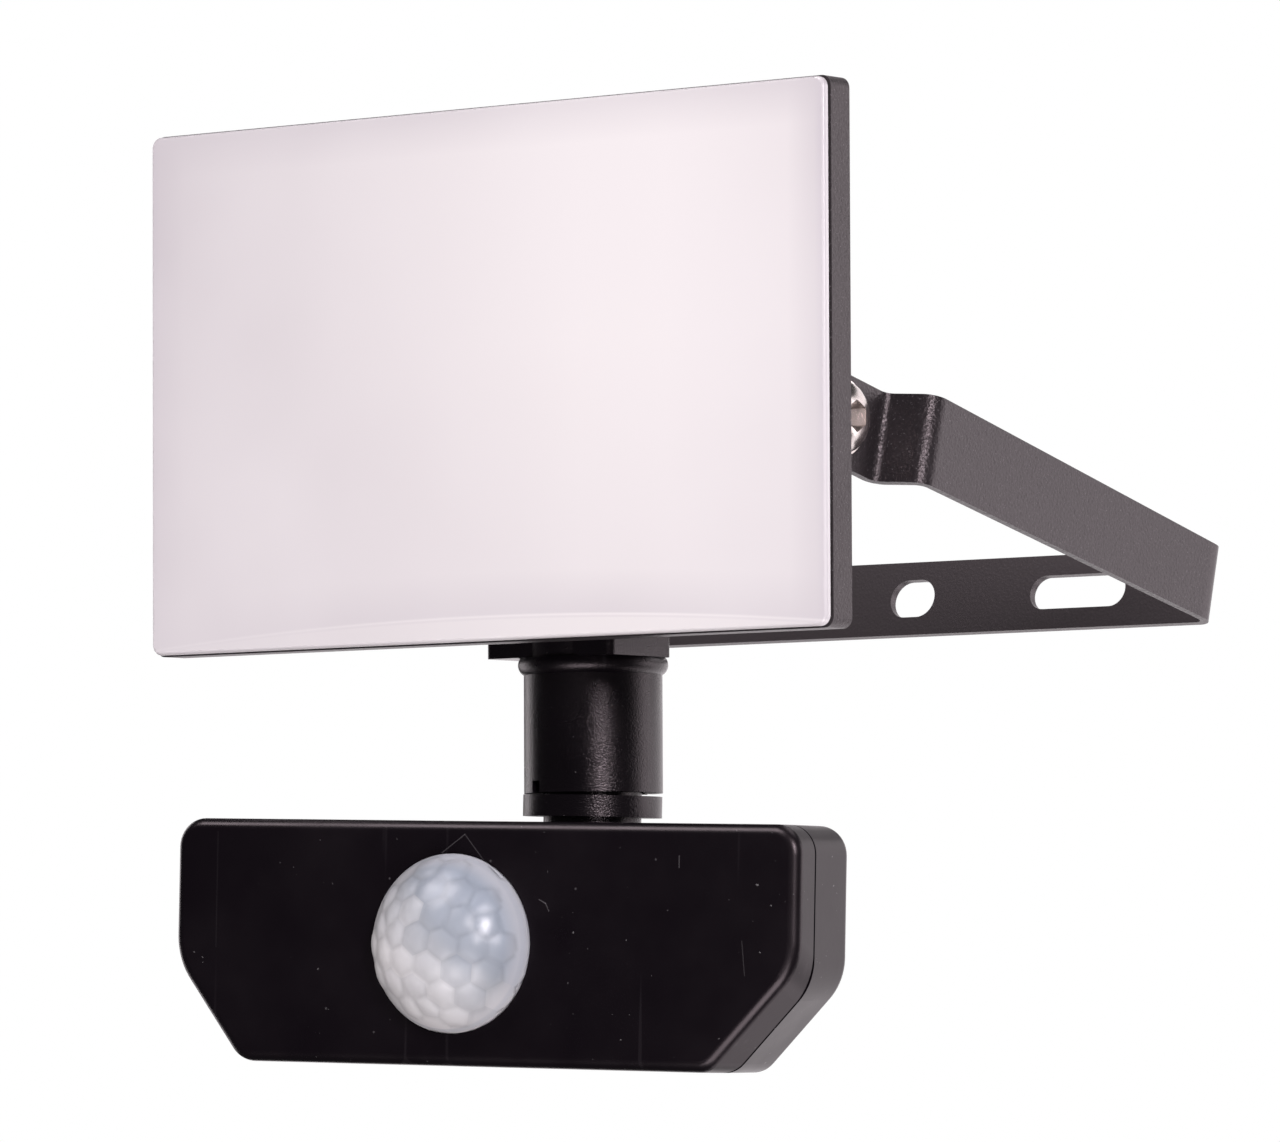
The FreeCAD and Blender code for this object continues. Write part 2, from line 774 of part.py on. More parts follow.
# Rear cover with its seal and screws
def make_rear_cover():
    half_wide = d.bodyBackHalf - d.lampCorner
    half_tall = d.bodyHeight / 2 - d.lampCorner
    ring_plate("rear_cover_seal", d.bodyBack, d.gasketThick, (half_wide, half_tall),
               (d.driverHalf - d.gasketInset, DRIVER_TALL / 2 - d.gasketInset), d.coverCorner)
    seal_holes = sketch(doc.rear_cover_seal, "rear_seal_hole_outline", "XZ_Plane", -d.bodyBack)
    cover_front = d.bodyBack + d.gasketThick
    made = rounded_plate("rear_cover", half_wide, half_tall, cover_front, d.coverThick,
                         d.coverCorner)
    back = cover_front + d.coverThick
    far = value(back)
    soften(made, "rear_cover_back_edge", d.coverThick / 3,
           lambda a, b: near(a.y, far) and near(b.y, far))
    holes = sketch(made, "rear_cover_hole_outline", "XZ_Plane", -back)
    for drawn in (holes, seal_holes):
        for side in (-1, 1):
            for rise in (-1, 1):
                circle(drawn, side * COVER_SCREW_OUT, rise * COVER_SCREW_UP, d.smallScrew * d.freeRatio)
    circle(holes, ZERO, -GLAND_DROP, d.glandRadius)
    sink(made, "rear_cover_holes", holes, d.coverThick)
    sink(doc.rear_cover_seal, "rear_seal_holes", seal_holes, d.gasketThick, True)
    ribs = sketch(made, "rear_cover_rib_outline", "XZ_Plane", -back)
    for step in range(3):
        low = d.boardGap * 2 + step * 2 * d.finPitch
        rib = half_wide * d.coverRibRatio
        rectangle(ribs, (-rib, rib), (low, low + d.finThick))
    grow(made, "rear_cover_ribs", ribs, d.finThick / 2)
    piece(made, LAMP)
    screws = []
    for side in (-1, 1):
        for rise in (-1, 1):
            at = (side * COVER_SCREW_OUT, back, rise * COVER_SCREW_UP)
            screws.append(screw("cover_screw_%d_%d" % (side + 1, rise + 1), "y", at,
                                d.smallScrew * d.gripRatio, d.coverScrewLength, d.coverHead,
                                d.smallHeadTall))
    group("rear_cover_screws", LAMP, screws)
    make_gland(back)


def make_gland(back):
    """Cable inlet: a flanged body through the cover, its locknut, seal and dome nut."""
    z = -GLAND_DROP
    inside = back - d.coverThick
    lock = d.lockTall
    flange = hexagon("gland_flange", "y", (ZERO, back, z), d.glandFlange, d.glandTall)
    thread = rod("gland_thread", "y", (ZERO, inside - lock - d.boardGap, z), d.glandRadius * d.threadRatio,
                 d.coverThick + lock + d.boardGap)
    neck = rod("gland_collar", "y", (ZERO, back + d.glandTall, z), d.glandNeck,
               d.glandNeckTall)
    way = rod("gland_way", "y", (ZERO, inside - 2 * lock, z), d.glandHole + d.boardGap,
              back + d.glandTall + d.glandNutTall)
    piece(cut("cable_gland", fuse("gland_solid", flange, thread, neck), way), LAMP)
    nut = hexagon("gland_lock_solid", "y", (ZERO, inside - lock, z), d.glandFlange, lock)
    nut_way = rod("gland_lock_way", "y", (ZERO, inside - 2 * lock, z), d.glandRadius * d.threadRatio,
                  4 * lock)
    piece(cut("gland_locknut", nut, nut_way), LAMP)
    seal = rod("gland_seal_solid", "y", (ZERO, back + d.glandTall, z), d.glandHole + d.boardGap,
               d.glandNeckTall)
    seal_way = rod("gland_seal_way", "y", (ZERO, back, z), d.glandSealHole,
                   d.glandNutTall + d.glandTall)
    piece(cut("gland_seal", seal, seal_way), LAMP)
    start = back + d.glandTall
    straight = d.domeStart
    barrel = hexagon("gland_dome_hex", "y", (ZERO, start, z), d.glandNut, straight)
    dome = cone("gland_dome_top", "y", (ZERO, start + straight, z), d.domeFoot,
                d.domeTip, d.glandNutTall - straight)
    hollow = rod("gland_dome_hollow", "y", (ZERO, back, z), d.glandNeck,
                 d.glandTall + d.glandNeckTall)
    mouth = rod("gland_dome_mouth", "y", (ZERO, back, z), d.glandHole,
                d.glandTall + 2 * d.glandNutTall)
    piece(cut("gland_dome_nut", fuse("gland_dome_solid", barrel, dome), hollow, mouth), LAMP)


# Folded bracket: one strip with a strap for the wall, two arms and joggled ears
def make_bracket():
    made = body("bracket")
    t = d.sheetThick
    near_line = -d.hingeReach + d.joggleNear
    far_line = -d.hingeReach + d.joggleFar
    end = -d.hingeReach - d.stripWidth / 2
    ear = d.earFace
    wide = d.strapHalf
    outer = [(ear, end), (ear, near_line), (wide, far_line), (wide, ZERO)]
    inner = [(wide - t, -t), (wide - t, far_line + t), (ear - t, near_line + t), (ear - t, end)]
    right = outer
    left = [(-x, y) for x, y in reversed(outer)]
    back = inner
    front = [(-x, y) for x, y in reversed(inner)]
    drawn = sketch(made, "bracket_fold_outline", "XY_Plane")
    outline(drawn, right + left + front + back)
    added = made.newObject("PartDesign::Pad", "bracket_strip")
    added.Profile = drawn
    added.SideType = "Symmetric"
    bind(added, "Length", d.stripWidth)
    low = value(end)
    soften(made, "bracket_outer_bends", d.bendRadius + t,
           lambda a, b: along_z(a, b) and corner_of(a, [(wide, 0), (wide, far_line),
                                                        (ear - t, near_line + t)]))
    soften(made, "bracket_inner_bends", d.bendRadius,
           lambda a, b: along_z(a, b) and corner_of(a, [(wide - t, -t), (wide - t, far_line + t),
                                                        (ear, near_line)]))
    soften(made, "bracket_ear_ends", d.stripWidth / 2 - d.lipGap,
           lambda a, b: near(a.y, low) and near(b.y, low) and near(a.z, b.z)
           and not near(a.x, b.x))
    return made


def corner_of(point, corners):
    for x, y in corners:
        if near(abs(point.x), value(x), 0.05) and near(point.y, value(y), 0.05):
            return True
    return False


def taper_arms(made):
    """Narrows the arms above and below, from the joggles to the strap."""
    near_line = -d.hingeReach + d.joggleFar
    wide = d.stripWidth / 2
    narrow = d.strapWidth / 2
    for side, tag in ((-1, "below"), (1, "above")):
        drawn = sketch(made, "bracket_taper_outline_" + tag, "YZ_Plane")
        outline(drawn, [(near_line, side * wide), (-d.sheetThick - d.bendRadius, side * narrow),
                        (ZERO + 1, side * narrow), (ZERO + 1, side * (wide + 1)),
                        (near_line, side * (wide + 1))])
        before = made.Shape.Volume
        taken = made.newObject("PartDesign::Pocket", "bracket_taper_" + tag)
        taken.Profile = drawn
        taken.SideType = "Symmetric"
        bind(taken, "Length", 4 * d.strapHalf)
        doc.recompute()
        if made.Shape.Volume >= before:
            raise ValueError("the arms keep their width " + tag)


def drill_bracket(made):
    """Pivot holes in the ears, and a round hole and two slots in the strap."""
    taper_arms(made)
    pivot = sketch(made, "bracket_pivot_outline", "YZ_Plane")
    circle(pivot, -d.hingeReach, ZERO, d.pivotHole)
    bore = made.newObject("PartDesign::Pocket", "bracket_pivot_holes")
    bore.Profile = pivot
    bore.SideType = "Symmetric"
    bind(bore, "Length", 2 * d.strapHalf)
    hole = sketch(made, "bracket_hole_outline", "XZ_Plane")
    half = (d.centreLong - d.centreWide) / 2
    stadium(hole, -half, half, d.centreWide / 2)
    sink(made, "bracket_centre_hole", hole, 2 * d.sheetThick)
    doc.recompute()
    straight = (d.slotLong - d.slotWide) / 2
    for side, tag in ((-1, "left"), (1, "right")):
        middle = side * d.slotPitch / 2
        slot = sketch(made, "bracket_slot_outline_" + tag, "XZ_Plane")
        stadium(slot, middle - straight, middle + straight, d.slotWide / 2)
        sink(made, "bracket_slot_" + tag, slot, 2 * d.sheetThick)
    return piece(made, WALL)


def stadium(drawn, left, right, radius):
    """Slot outline with two straight sides and two round ends."""
    r = value(radius)
    a = value(left)
    b = value(right)
    up = FreeCAD.Vector(0, 0, 1)
    top = drawn.addGeometry(Part.LineSegment(FreeCAD.Vector(a, r, 0), FreeCAD.Vector(b, r, 0)))
    low = drawn.addGeometry(Part.LineSegment(FreeCAD.Vector(a, -r, 0), FreeCAD.Vector(b, -r, 0)))
    ends = []
    for centre, first, last in ((a, 90, 270), (b, -90, 90)):
        round_end = Part.Circle(FreeCAD.Vector(centre, 0, 0), up, r)
        arc = Part.ArcOfCircle(round_end, first * DEGREE, last * DEGREE)
        ends.append(drawn.addGeometry(arc))
    link = Sketcher.Constraint
    drawn.addConstraint(link("Coincident", top, 1, ends[0], 1))
    drawn.addConstraint(link("Coincident", low, 1, ends[0], 2))
    drawn.addConstraint(link("Coincident", low, 2, ends[1], 1))
    drawn.addConstraint(link("Coincident", top, 2, ends[1], 2))
    pin_across(drawn, ends[0], 3, left)
    pin_across(drawn, ends[1], 3, right)
    for line, spot, x, y in ((top, 1, left, radius), (low, 1, left, -radius),
                             (top, 2, right, radius), (low, 2, right, -radius)):
        pin(drawn, line, spot, x, y)


DEGREE = 3.141592653589793 / 180


def make_hinge_hardware():
    """Socket screws that clamp the ears to the lugs, each on a flat washer."""
    screws = []
    washers = []
    y = d.hingeBack
    z = -d.hingeDrop
    for side, tag in ((-1, "left"), (1, "right")):
        face = d.earFace * side
        start = face if side > 0 else face - d.washerThick
        disc = rod("washer_disc_" + tag, "x", (start, y, z), d.washerRadius, d.washerThick)
        gap = d.earFace - d.sheetThick - d.washerThick
        inner = side * gap if side > 0 else -gap - d.washerThick
        spring = rod("washer_inner_" + tag, "x", (inner, y, z), d.washerRadius, d.washerThick)
        way = rod("washer_way_" + tag, "x", (-d.strapHalf, y, z), d.washerHole,
                  2 * d.strapHalf)
        washers.append(cut("washer_pair_" + tag, fuse("washer_both_" + tag, disc, spring), way))
        screws.append(hinge_screw(tag, side, y, z))
    group("hinge_washers", LAMP, washers)
    group("hinge_screws", LAMP, screws)


def hinge_screw(tag, side, y, z):
    out = d.earFace + d.washerThick
    length = d.hingeScrewLength
    if side > 0:
        starts = (out - length, out, out + d.hingeHeadDepth - d.hingeSocketDepth)
    else:
        starts = (-out, -out, -out - d.hingeHeadDepth - d.overrun)
    shank = rod("pivot_shank_" + tag, "x", (starts[0], y, z), d.hingeShank, length)
    head = dome("pivot_head_" + tag, side, (starts[1], y, z), d.hingeHead, d.hingeHeadDepth)
    key = hexagon("pivot_key_" + tag, "x", (starts[2], y, z), d.hingeSocket / 2,
                  d.hingeSocketDepth + d.overrun)
    return cut("hinge_screw_" + tag, fuse("pivot_solid_" + tag, shank, head), key)


# Neck: a block under the lamp whose sleeve takes the sensor's swivel
def make_neck():
    seat = d.blockTall
    block = box("neck_block", (d.blockShift - d.blockWide / 2, d.blockShift + d.blockWide / 2),
                (d.neckBack - d.blockFore, d.neckBack + d.blockAft),
                (-BLOCK_DROP, -BLOCK_DROP + seat))
    rounded = doc.addObject("Part::Fillet", "neck_block_round")
    rounded.Base = block
    doc.recompute()
    corners = [int(name[4:]) for name in edges_where(block, along_z)]
    round_by = value(d.blockRound)
    rounded.Edges = [(index, round_by, round_by) for index in corners]
    bead = doc.addObject("Part::Torus", "neck_bead")
    bind(bead, "Radius1", d.collarRadius - d.collarRound)
    bind(bead, "Radius2", d.collarRound)
    put(bead, place(ZERO, ZERO, d.collarRound - d.collarTall))
    lid = rod("neck_bead_lid", "z", (ZERO, ZERO, ZERO), 2 * d.collarRadius, d.collarTall)
    collar = cut("neck_collar", bead, lid)
    sleeve = rod("neck_barrel", "z", (ZERO, ZERO, -d.sleeveTall), d.sleeveRadius,
                 d.sleeveTall + seat - d.swivelGap)
    lathe = fuse("neck_turned", collar, sleeve)
    put(lathe, NECK_IN_LAMP)
    bore = rod("neck_bore", "z", (ZERO, ZERO, -d.sleeveTall - d.overrun), d.boreRadius,
               d.sleeveTall + d.overrun + seat - d.boreRoof)
    chamber = rod("neck_chamber", "z", (ZERO, ZERO, seat - d.boreRoof - d.chamberTall),
                  d.boreChamber, d.chamberTall)
    wires = rod("neck_wire_way", "z", (ZERO, ZERO, -d.sleeveTall), d.wireHole,
                2 * d.sleeveTall)
    notches = []
    aside = place(ZERO, ZERO, ZERO, "z", -d.notchAngle)
    for side in (-1, 1):
        limits = sorted([side * d.spigotShank, side * d.collarRadius], key=value)
        notches.append(box("neck_notch_%d" % (side + 1), (-d.notchWide / 2, d.notchWide / 2),
                           limits, (-d.sleeveTall - d.overrun, -d.sleeveTall + d.notchTall),
                           aside))
    hollow = fuse("neck_hollow", bore, chamber, wires, *notches)
    put(hollow, NECK_IN_LAMP)
    holes = []
    for side in (-1, 1):
        holes.append(rod("neck_screw_hole_%d" % (side + 1), "z",
                         (d.blockShift + side * d.neckScrewOut, d.neckBack, -BLOCK_DROP + seat / 2),
                         d.smallScrew * d.gripRatio, seat))
    solid = fuse("neck_solid", rounded, lathe)
    piece(cut("neck_sleeve", solid, hollow, *holes), LAMP)
    screws = []
    for side in (-1, 1):
        at = (d.blockShift + side * d.neckScrewOut, d.neckBack, -DRIVER_TALL / 2)
        screws.append(screw("neck_screw_%d" % (side + 1), "z", at, d.smallScrew * d.gripRatio,
                            d.bodyWall + seat / 2,
                            d.smallHead, d.smallHeadTall))
    group("neck_screws", LAMP, screws)


def make_swivel():
    """Swivel stud: ring, snap spigot inside the sleeve, and shank into the sensor."""
    top = d.blockTall - d.boreRoof - d.chamberTall
    ring_top = -d.sleeveTall - d.swivelGap
    ring_low = ring_top - d.ringTall
    shell_top = -d.sensorDrop + d.sensorHeight / 2
    shank_low = shell_top - d.stemReach
    lip_at = top + (d.chamberTall - d.spigotLipTall) / 2
    ring = rod("swivel_ring", "z", (ZERO, ZERO, ring_low), d.ringRadius, d.ringTall)
    spigot = rod("swivel_spigot", "z", (ZERO, ZERO, ring_low), d.spigotRadius,
                 lip_at + d.spigotLipTall - ring_low)
    lip = cone("swivel_lip", "z", (ZERO, ZERO, lip_at), d.spigotLip, d.spigotRadius * d.gripRatio,
               d.spigotLipTall)
    boss = rod("swivel_boss", "z", (ZERO, ZERO, shell_top), d.bossRadius, ring_top - shell_top)
    shank = rod("swivel_shank", "z", (ZERO, ZERO, shank_low), d.spigotShank,
                ring_low - shank_low)
    solid = fuse("swivel_solid", ring, spigot, lip, boss, shank)
    way = rod("swivel_way", "z", (ZERO, ZERO, shank_low - d.overrun), d.spigotBore,
              lip_at + d.sleeveTall * 2)
    split = box("swivel_split", (-d.ringRadius, d.ringRadius),
                (-d.notchWide / 2, d.notchWide / 2),
                (-d.collarTall - d.chamberTall, lip_at + d.sleeveTall))
    groove_at = -d.sleeveTall + 2 * d.sealGroove
    groove = cut("swivel_groove",
                 rod("swivel_groove_out", "z", (ZERO, ZERO, groove_at), d.ringRadius,
                     2 * d.sealGroove),
                 rod("swivel_groove_in", "z", (ZERO, ZERO, groove_at - d.overrun),
                     d.spigotRadius - d.sealGroove, 4 * d.sealGroove))
    piece(cut("swivel_stud", solid, way, split, groove), STEM)
    seal = doc.addObject("Part::Torus", "swivel_seal")
    seal_out = d.boreRadius - d.sealGap
    seal_in = d.spigotRadius - d.sealGroove
    bind(seal, "Radius1", (seal_out + seal_in) / 2)
    bind(seal, "Radius2", (seal_out - seal_in) / 2)
    put(seal, STEM, place(ZERO, ZERO, groove_at + d.sealGroove))
    piece(seal)
    nut = hexagon("swivel_nut_solid", "z", (ZERO, ZERO, shank_low), d.swivelNut,
                  d.swivelNutTall)
    nut_way = rod("swivel_nut_way", "z", (ZERO, ZERO, shank_low - d.overrun), d.spigotShank,
                  2 * d.swivelNutTall)
    piece(cut("swivel_nut", nut, nut_way), STEM)


# A cut corner moves in by this share of the inset when all its sides do
CORNER_INSET = 2 - 2 ** 0.5
# The cuts are this much narrower where the cover meets the shell
PART_LESS = d.coverDepth * slope("coverDraftAngle")
LEFT_STEEP = d.cutRise / d.leftCut
RIGHT_STEEP = d.cutRise / d.rightCut


# Sensor head: wide front cover and rear shell with cut lower corners
def shield(made, name, depth, inset):
    """Outline of the sensor at one depth, with its two lower corners cut off."""
    wide = d.sensorWidth / 2 - inset
    top = d.sensorHeight / 2 - inset
    left = d.leftCut - PART_LESS - inset * CORNER_INSET
    right = d.rightCut - PART_LESS - inset * CORNER_INSET
    drawn = sketch(made, name, "XZ_Plane", d.sensorFore - depth)
    outline(drawn, [(-wide, top), (-wide, -top + left * LEFT_STEEP), (-wide + left, -top),
                    (wide - right, -top), (wide, -top + right * RIGHT_STEEP), (wide, top)])
    return drawn


def block_form(made, name, front, back):
    """Plain block of the sensor's full width and height between two depths."""
    drawn = xz_offset_rectangle(made, name + "_outline", front, d.sensorWidth / 2,
                                -d.sensorHeight / 2, d.sensorHeight / 2)
    grow(made, name, drawn, back - front)


def cut_corners(made, name, angle, less, front, back):
    """Cuts both lower corners with planes that lean outwards towards the back."""
    spare = d.topCorner
    lean = slope(angle)
    for side, tag, full, steep in ((-1, "left", d.leftCut, LEFT_STEEP),
                                   (1, "right", d.rightCut, RIGHT_STEEP)):
        high = -d.sensorHeight / 2 + (full - less + spare) * steep
        low = -d.sensorHeight / 2 - spare * steep
        outer = side * (d.sensorWidth / 2 + spare)
        inner = side * (d.sensorWidth / 2 - full + less - spare)
        drawn = sketch(made, name + "_outline_" + tag, "XZ_Plane", d.sensorFore - front)
        outline(drawn, [(outer, high), (inner, low), (outer, low)])
        doc.recompute()
        before = made.Shape.Volume
        taken = made.newObject("PartDesign::Pocket", name + "_" + tag)
        taken.Profile = drawn
        taken.UseCustomVector = True
        taken.Direction = FreeCAD.Vector(side * value(lean), 1, 0)
        taken.setExpression("Direction.x", formula(side * lean))
        bind(taken, "Length", back - front)
        doc.recompute()
        if made.Shape.isNull() or made.Shape.Volume >= before:
            taken.Reversed = True
            doc.recompute()
        if made.Shape.isNull() or made.Shape.Volume >= before:
            raise ValueError(name + " cuts nothing")


def round_cuts(made, name):
    """Rounds the two corners above and the two below the leaning cuts."""
    side = value(d.sensorWidth / 2)
    floor = -value(d.sensorHeight / 2)
    soften(made, name + "_above", d.upperRound,
           lambda a, b: leans(a, b) and near(abs(a.x), side) and near(abs(b.x), side))
    soften(made, name + "_below", d.lowerRound,
           lambda a, b: leans(a, b) and near(a.z, floor) and near(b.z, floor))


def leans(start, end):
    """True for an edge that runs back and also up, down or across."""
    return not near(start.y, end.y) and not along_y(start, end)


def make_front_cover():
    made = body("sensor_front_cover")
    block_form(made, "cover_form", ZERO, d.coverDepth)
    cut_corners(made, "cover_cut", "coverDraftAngle", ZERO, ZERO, d.coverDepth)
    round_cuts(made, "cover_rounds")
    high = value(d.sensorHeight / 2)
    face = -value(d.sensorFore)
    soften(made, "cover_top_corners", d.topCorner,
           lambda a, b: along_y(a, b) and near(a.z, high))
    soften(made, "cover_front_edge", d.frontEdge,
           lambda a, b: near(a.y, face) and near(b.y, face))
    inner = shield(made, "cover_inner_outline", d.coverDepth, d.shellWall)
    sink(made, "cover_inner", inner, d.coverDepth - d.shellWall)
    window = sketch(made, "cover_window_outline", "XZ_Plane", d.sensorFore)
    circle(window, -d.lensShift, ZERO, d.lensRadius + d.lensGap)
    sink(made, "cover_window", window, d.coverDepth, True)
    posts = sketch(made, "cover_post_outline", "XZ_Plane", d.sensorFore - d.shellWall)
    for x, z in post_places():
        circle(posts, x, z, d.postRadius)
    grow(made, "cover_posts", posts, d.shellDepth - d.postShort)
    holes = sketch(made, "cover_screw_outline", "XZ_Plane", d.sensorFore - 2 * d.shellWall)
    for x, z in post_places():
        circle(holes, x, z, d.smallScrew * d.gripRatio)
    sink(made, "cover_screw_holes", holes, d.shellDepth, True)
    return piece(made, SENSOR)


def post_places():
    """Where the four case screws stand, two high and two above the cut corners."""
    return [(side * d.postOut, rise) for side in (-1, 1)
            for rise in (d.postUp, d.postLow)]


def make_rear_shell():
    made = body("sensor_rear_shell")
    block_form(made, "shell_form", d.coverDepth, d.shellDepth)
    cut_corners(made, "shell_cut", "shellDraftAngle", PART_LESS, d.coverDepth, d.shellDepth)
    round_cuts(made, "shell_rounds")
    high = value(d.sensorHeight / 2)
    soften(made, "shell_top_corners", d.topCorner,
           lambda a, b: along_y(a, b) and near(a.z, high))
    back = -value(d.sensorFore) + value(d.shellDepth)
    soften(made, "shell_rear_edge", d.frontEdge,
           lambda a, b: near(a.y, back) and near(b.y, back))
    pod = xz_offset_rectangle(made, "shell_pod_outline", d.shellDepth - d.frontEdge, d.podHalf,
                              -d.podFloor, d.sensorHeight / 2)
    pod_long = d.podBack + d.sensorFore - d.shellDepth + d.frontEdge
    grow(made, "shell_pod", pod, pod_long)
    end = value(d.podBack)
    soften(made, "shell_pod_corners", d.podCorner,
           lambda a, b: along_z(a, b) and near(a.y, end))
    inner = shield(made, "shell_inner_outline", d.coverDepth, d.shellWall)
    sink(made, "shell_inner", inner, d.shellDepth - d.coverDepth - d.shellWall, True)
    room = xz_offset_rectangle(made, "shell_room_outline", d.coverDepth,
                               d.podHalf - d.shellWall, -d.podFloor + d.shellWall,
                               d.sensorHeight / 2 - d.shellWall)
    sink(made, "shell_room", room, d.sensorFore + d.podBack - d.coverDepth - d.shellWall, True)
    holes = sketch(made, "shell_screw_outline", "XZ_Plane", d.sensorFore - d.coverDepth)
    for x, z in post_places():
        circle(holes, x, z, d.smallScrew * d.freeRatio)
    sink(made, "shell_screw_holes", holes, d.shellDepth, True)
    swivel = sketch(made, "shell_swivel_outline", "XY_Plane", d.sensorHeight / 2)
    circle(swivel, ZERO, ZERO, d.spigotShank + d.lensGap)
    sink(made, "shell_swivel_hole", swivel, 2 * d.shellWall)
    knobs = sketch(made, "shell_knob_outline", "XY_Plane", -d.podFloor)
    for step in (-1, 0, 1):
        circle(knobs, step * d.knobPitch, -d.knobFore, d.knobRadius + d.knobGap)
    sink(made, "shell_knob_holes", knobs, 2 * d.shellWall, True)
    return piece(made, SENSOR)


def xz_offset_rectangle(made, name, depth, half_wide, low, high):
    """Rectangle across the sensor, at a depth behind its front face."""
    drawn = sketch(made, name, "XZ_Plane", d.sensorFore - depth)
    rectangle(drawn, (-half_wide, half_wide), (low, high))
    return drawn


def make_lens():
    """Domed lens with a thin wall, a straight rim and a flange behind the cover."""
    made = body("pir_lens")
    drawn = sketch(made, "lens_profile", "XY_Plane")
    r = value(d.lensRadius)
    t = value(d.lensWall)
    rise = value(d.lensRise)
    base = -value(d.sensorFore) - value(d.lensProud)
    inside = -value(d.sensorFore) + value(d.shellWall)
    flange = value(d.lensFlange)
    thick = value(d.lensFlangeThick)
    link = Sketcher.Constraint
    outer_centre, outer_radius = cap_circle(r, rise)
    inner_centre, inner_radius = cap_circle(r - t, rise - t)
    spots = [(0, base - rise), (r, base), (r, inside), (flange, inside), (flange, inside + thick),
             (r - t, inside + thick), (r - t, base), (0, base - rise + t)]
    arc = cap_arc(base, outer_centre, outer_radius, spots[0], spots[1])
    lines = [drawn.addGeometry(arc)]
    for here, there in zip(spots[1:6], spots[2:7]):
        lines.append(drawn.addGeometry(Part.LineSegment(vector(here), vector(there))))
    arc = cap_arc(base, inner_centre, inner_radius, spots[6], spots[7])
    lines.append(drawn.addGeometry(arc))
    lines.append(drawn.addGeometry(Part.LineSegment(vector(spots[7]), vector(spots[0]))))
    fasten_lens(drawn, lines, link)
    turned_solid = made.newObject("PartDesign::Revolution", "lens_form")
    turned_solid.Profile = drawn
    turned_solid.ReferenceAxis = (drawn, ["V_Axis"])
    turned_solid.Angle = 360
    put(made, SENSOR, place(-d.lensShift, ZERO, ZERO))
    return piece(made)


def vector(spot):
    return FreeCAD.Vector(spot[0], spot[1], 0)


def cap_circle(half, rise):
    """Distance of a cap's centre behind its base, and the cap's radius."""
    radius = (half * half + rise * rise) / (2 * rise)
    return radius - rise, radius


def cap_arc(base, centre, radius, first, last):
    """Arc over the cap between two of its points, through the point between them."""
    middle_x = (first[0] + last[0]) / 2
    drop = (radius * radius - middle_x * middle_x) ** 0.5
    middle = FreeCAD.Vector(middle_x, base + centre - drop, 0)
    return Part.Arc(vector(first), middle, vector(last))


def fasten_lens(drawn, lines, link):
    """Ties the profile's ends together and binds its points to the sizes."""
    r = d.lensRadius
    t = d.lensWall
    base = -d.sensorFore - d.lensProud
    inside = -d.sensorFore + d.shellWall
    rear = inside + d.lensFlangeThick
    spots = [(r, base), (r, inside), (d.lensFlange, inside), (d.lensFlange, rear),
             (r - t, rear)]
    for index, (x, y) in enumerate(spots, start=1):
        pin(drawn, lines[index], 1, x, y)
    pin(drawn, lines[6], 1 if arc_starts(drawn, lines[6], value(r - t)) else 2, r - t, base)
    pin(drawn, lines[7], 1, ZERO, base - d.lensRise + t)
    pin(drawn, lines[7], 2, ZERO, base - d.lensRise)
    for index in range(1, 5):
        drawn.addConstraint(link("Coincident", lines[index], 2, lines[index + 1], 1))
    for arc, on_axis, off_axis in ((lines[0], (lines[7], 2), (lines[1], 1)),
                                   (lines[6], (lines[7], 1), (lines[5], 2))):
        centre = 1 if arc_starts(drawn, arc, 0) else 2
        drawn.addConstraint(link("Coincident", arc, centre, *on_axis))
        drawn.addConstraint(link("Coincident", arc, 3 - centre, *off_axis))
        drawn.addConstraint(link("PointOnObject", arc, 3, -2))


def arc_starts(drawn, arc, x):
    return near(drawn.getPoint(arc, 1).x, x, 0.001)


def make_sensor_inside():
    """Lens clamp ring, board, detector and the parts behind the board."""
    fore = -d.sensorFore
    flange_back = fore + d.shellWall + d.lensFlangeThick
    outer = rod("retainer_out", "y", (-d.lensShift, flange_back, ZERO), d.lensFlange,
                d.shellWall)
    inner = rod("retainer_in", "y", (-d.lensShift, fore, ZERO), d.lensRadius, d.sensorFore)
    piece(cut("lens_retainer", outer, inner), SENSOR)
    front = flange_back + 2 * d.shellWall
    back = front + d.boardThick
    make_sensor_board(front)
    can = rod("detector_can", "y", (-d.lensShift, front - d.chipWide, ZERO), d.knobRadius,
              d.chipWide)
    brim = rod("detector_brim", "y", (-d.lensShift, front - d.boardGap / 2, ZERO),
               d.knobRadius + d.lensWall, d.boardGap / 2)
    window = box("detector_window", (-d.lensShift - d.chipWide / 2, -d.lensShift + d.chipWide / 2),
                 (front - 2 * d.chipWide, front - d.chipWide + d.lensWall / 2),
                 (-d.chipWide / 2, d.chipWide / 2))
    piece(cut("pyro_detector", fuse("detector_solid", can, brim), window), SENSOR)
    piece(rod("light_cell", "y", (-d.lensShift, front - d.boardGap, -2 * d.knobRadius),
              d.cellRadius, d.boardGap, SENSOR))
    low = -d.podFloor + d.postShort
    piece(box("sensor_relay", (d.chipWide, d.podHalf - 2 * d.shellWall),
              (back, back + d.relayDeep), (low, low + d.chipStepZ), SENSOR))
    piece(rod("sensor_capacitor", "y", (-d.podHalf / 2, back, low + d.knobRadius),
              d.knobRadius, d.relayDeep, SENSOR))
    screws = []
    for index, (x, z) in enumerate(post_places()):
        at = (x, fore + d.shellDepth, z)
        screws.append(screw("case_screw_%d" % index, "y", at, d.smallScrew * d.gripRatio * d.gripRatio,
                            d.shellDepth - 3 * d.shellWall, d.smallHead, d.smallHeadTall))
    group("sensor_case_screws", SENSOR, screws)


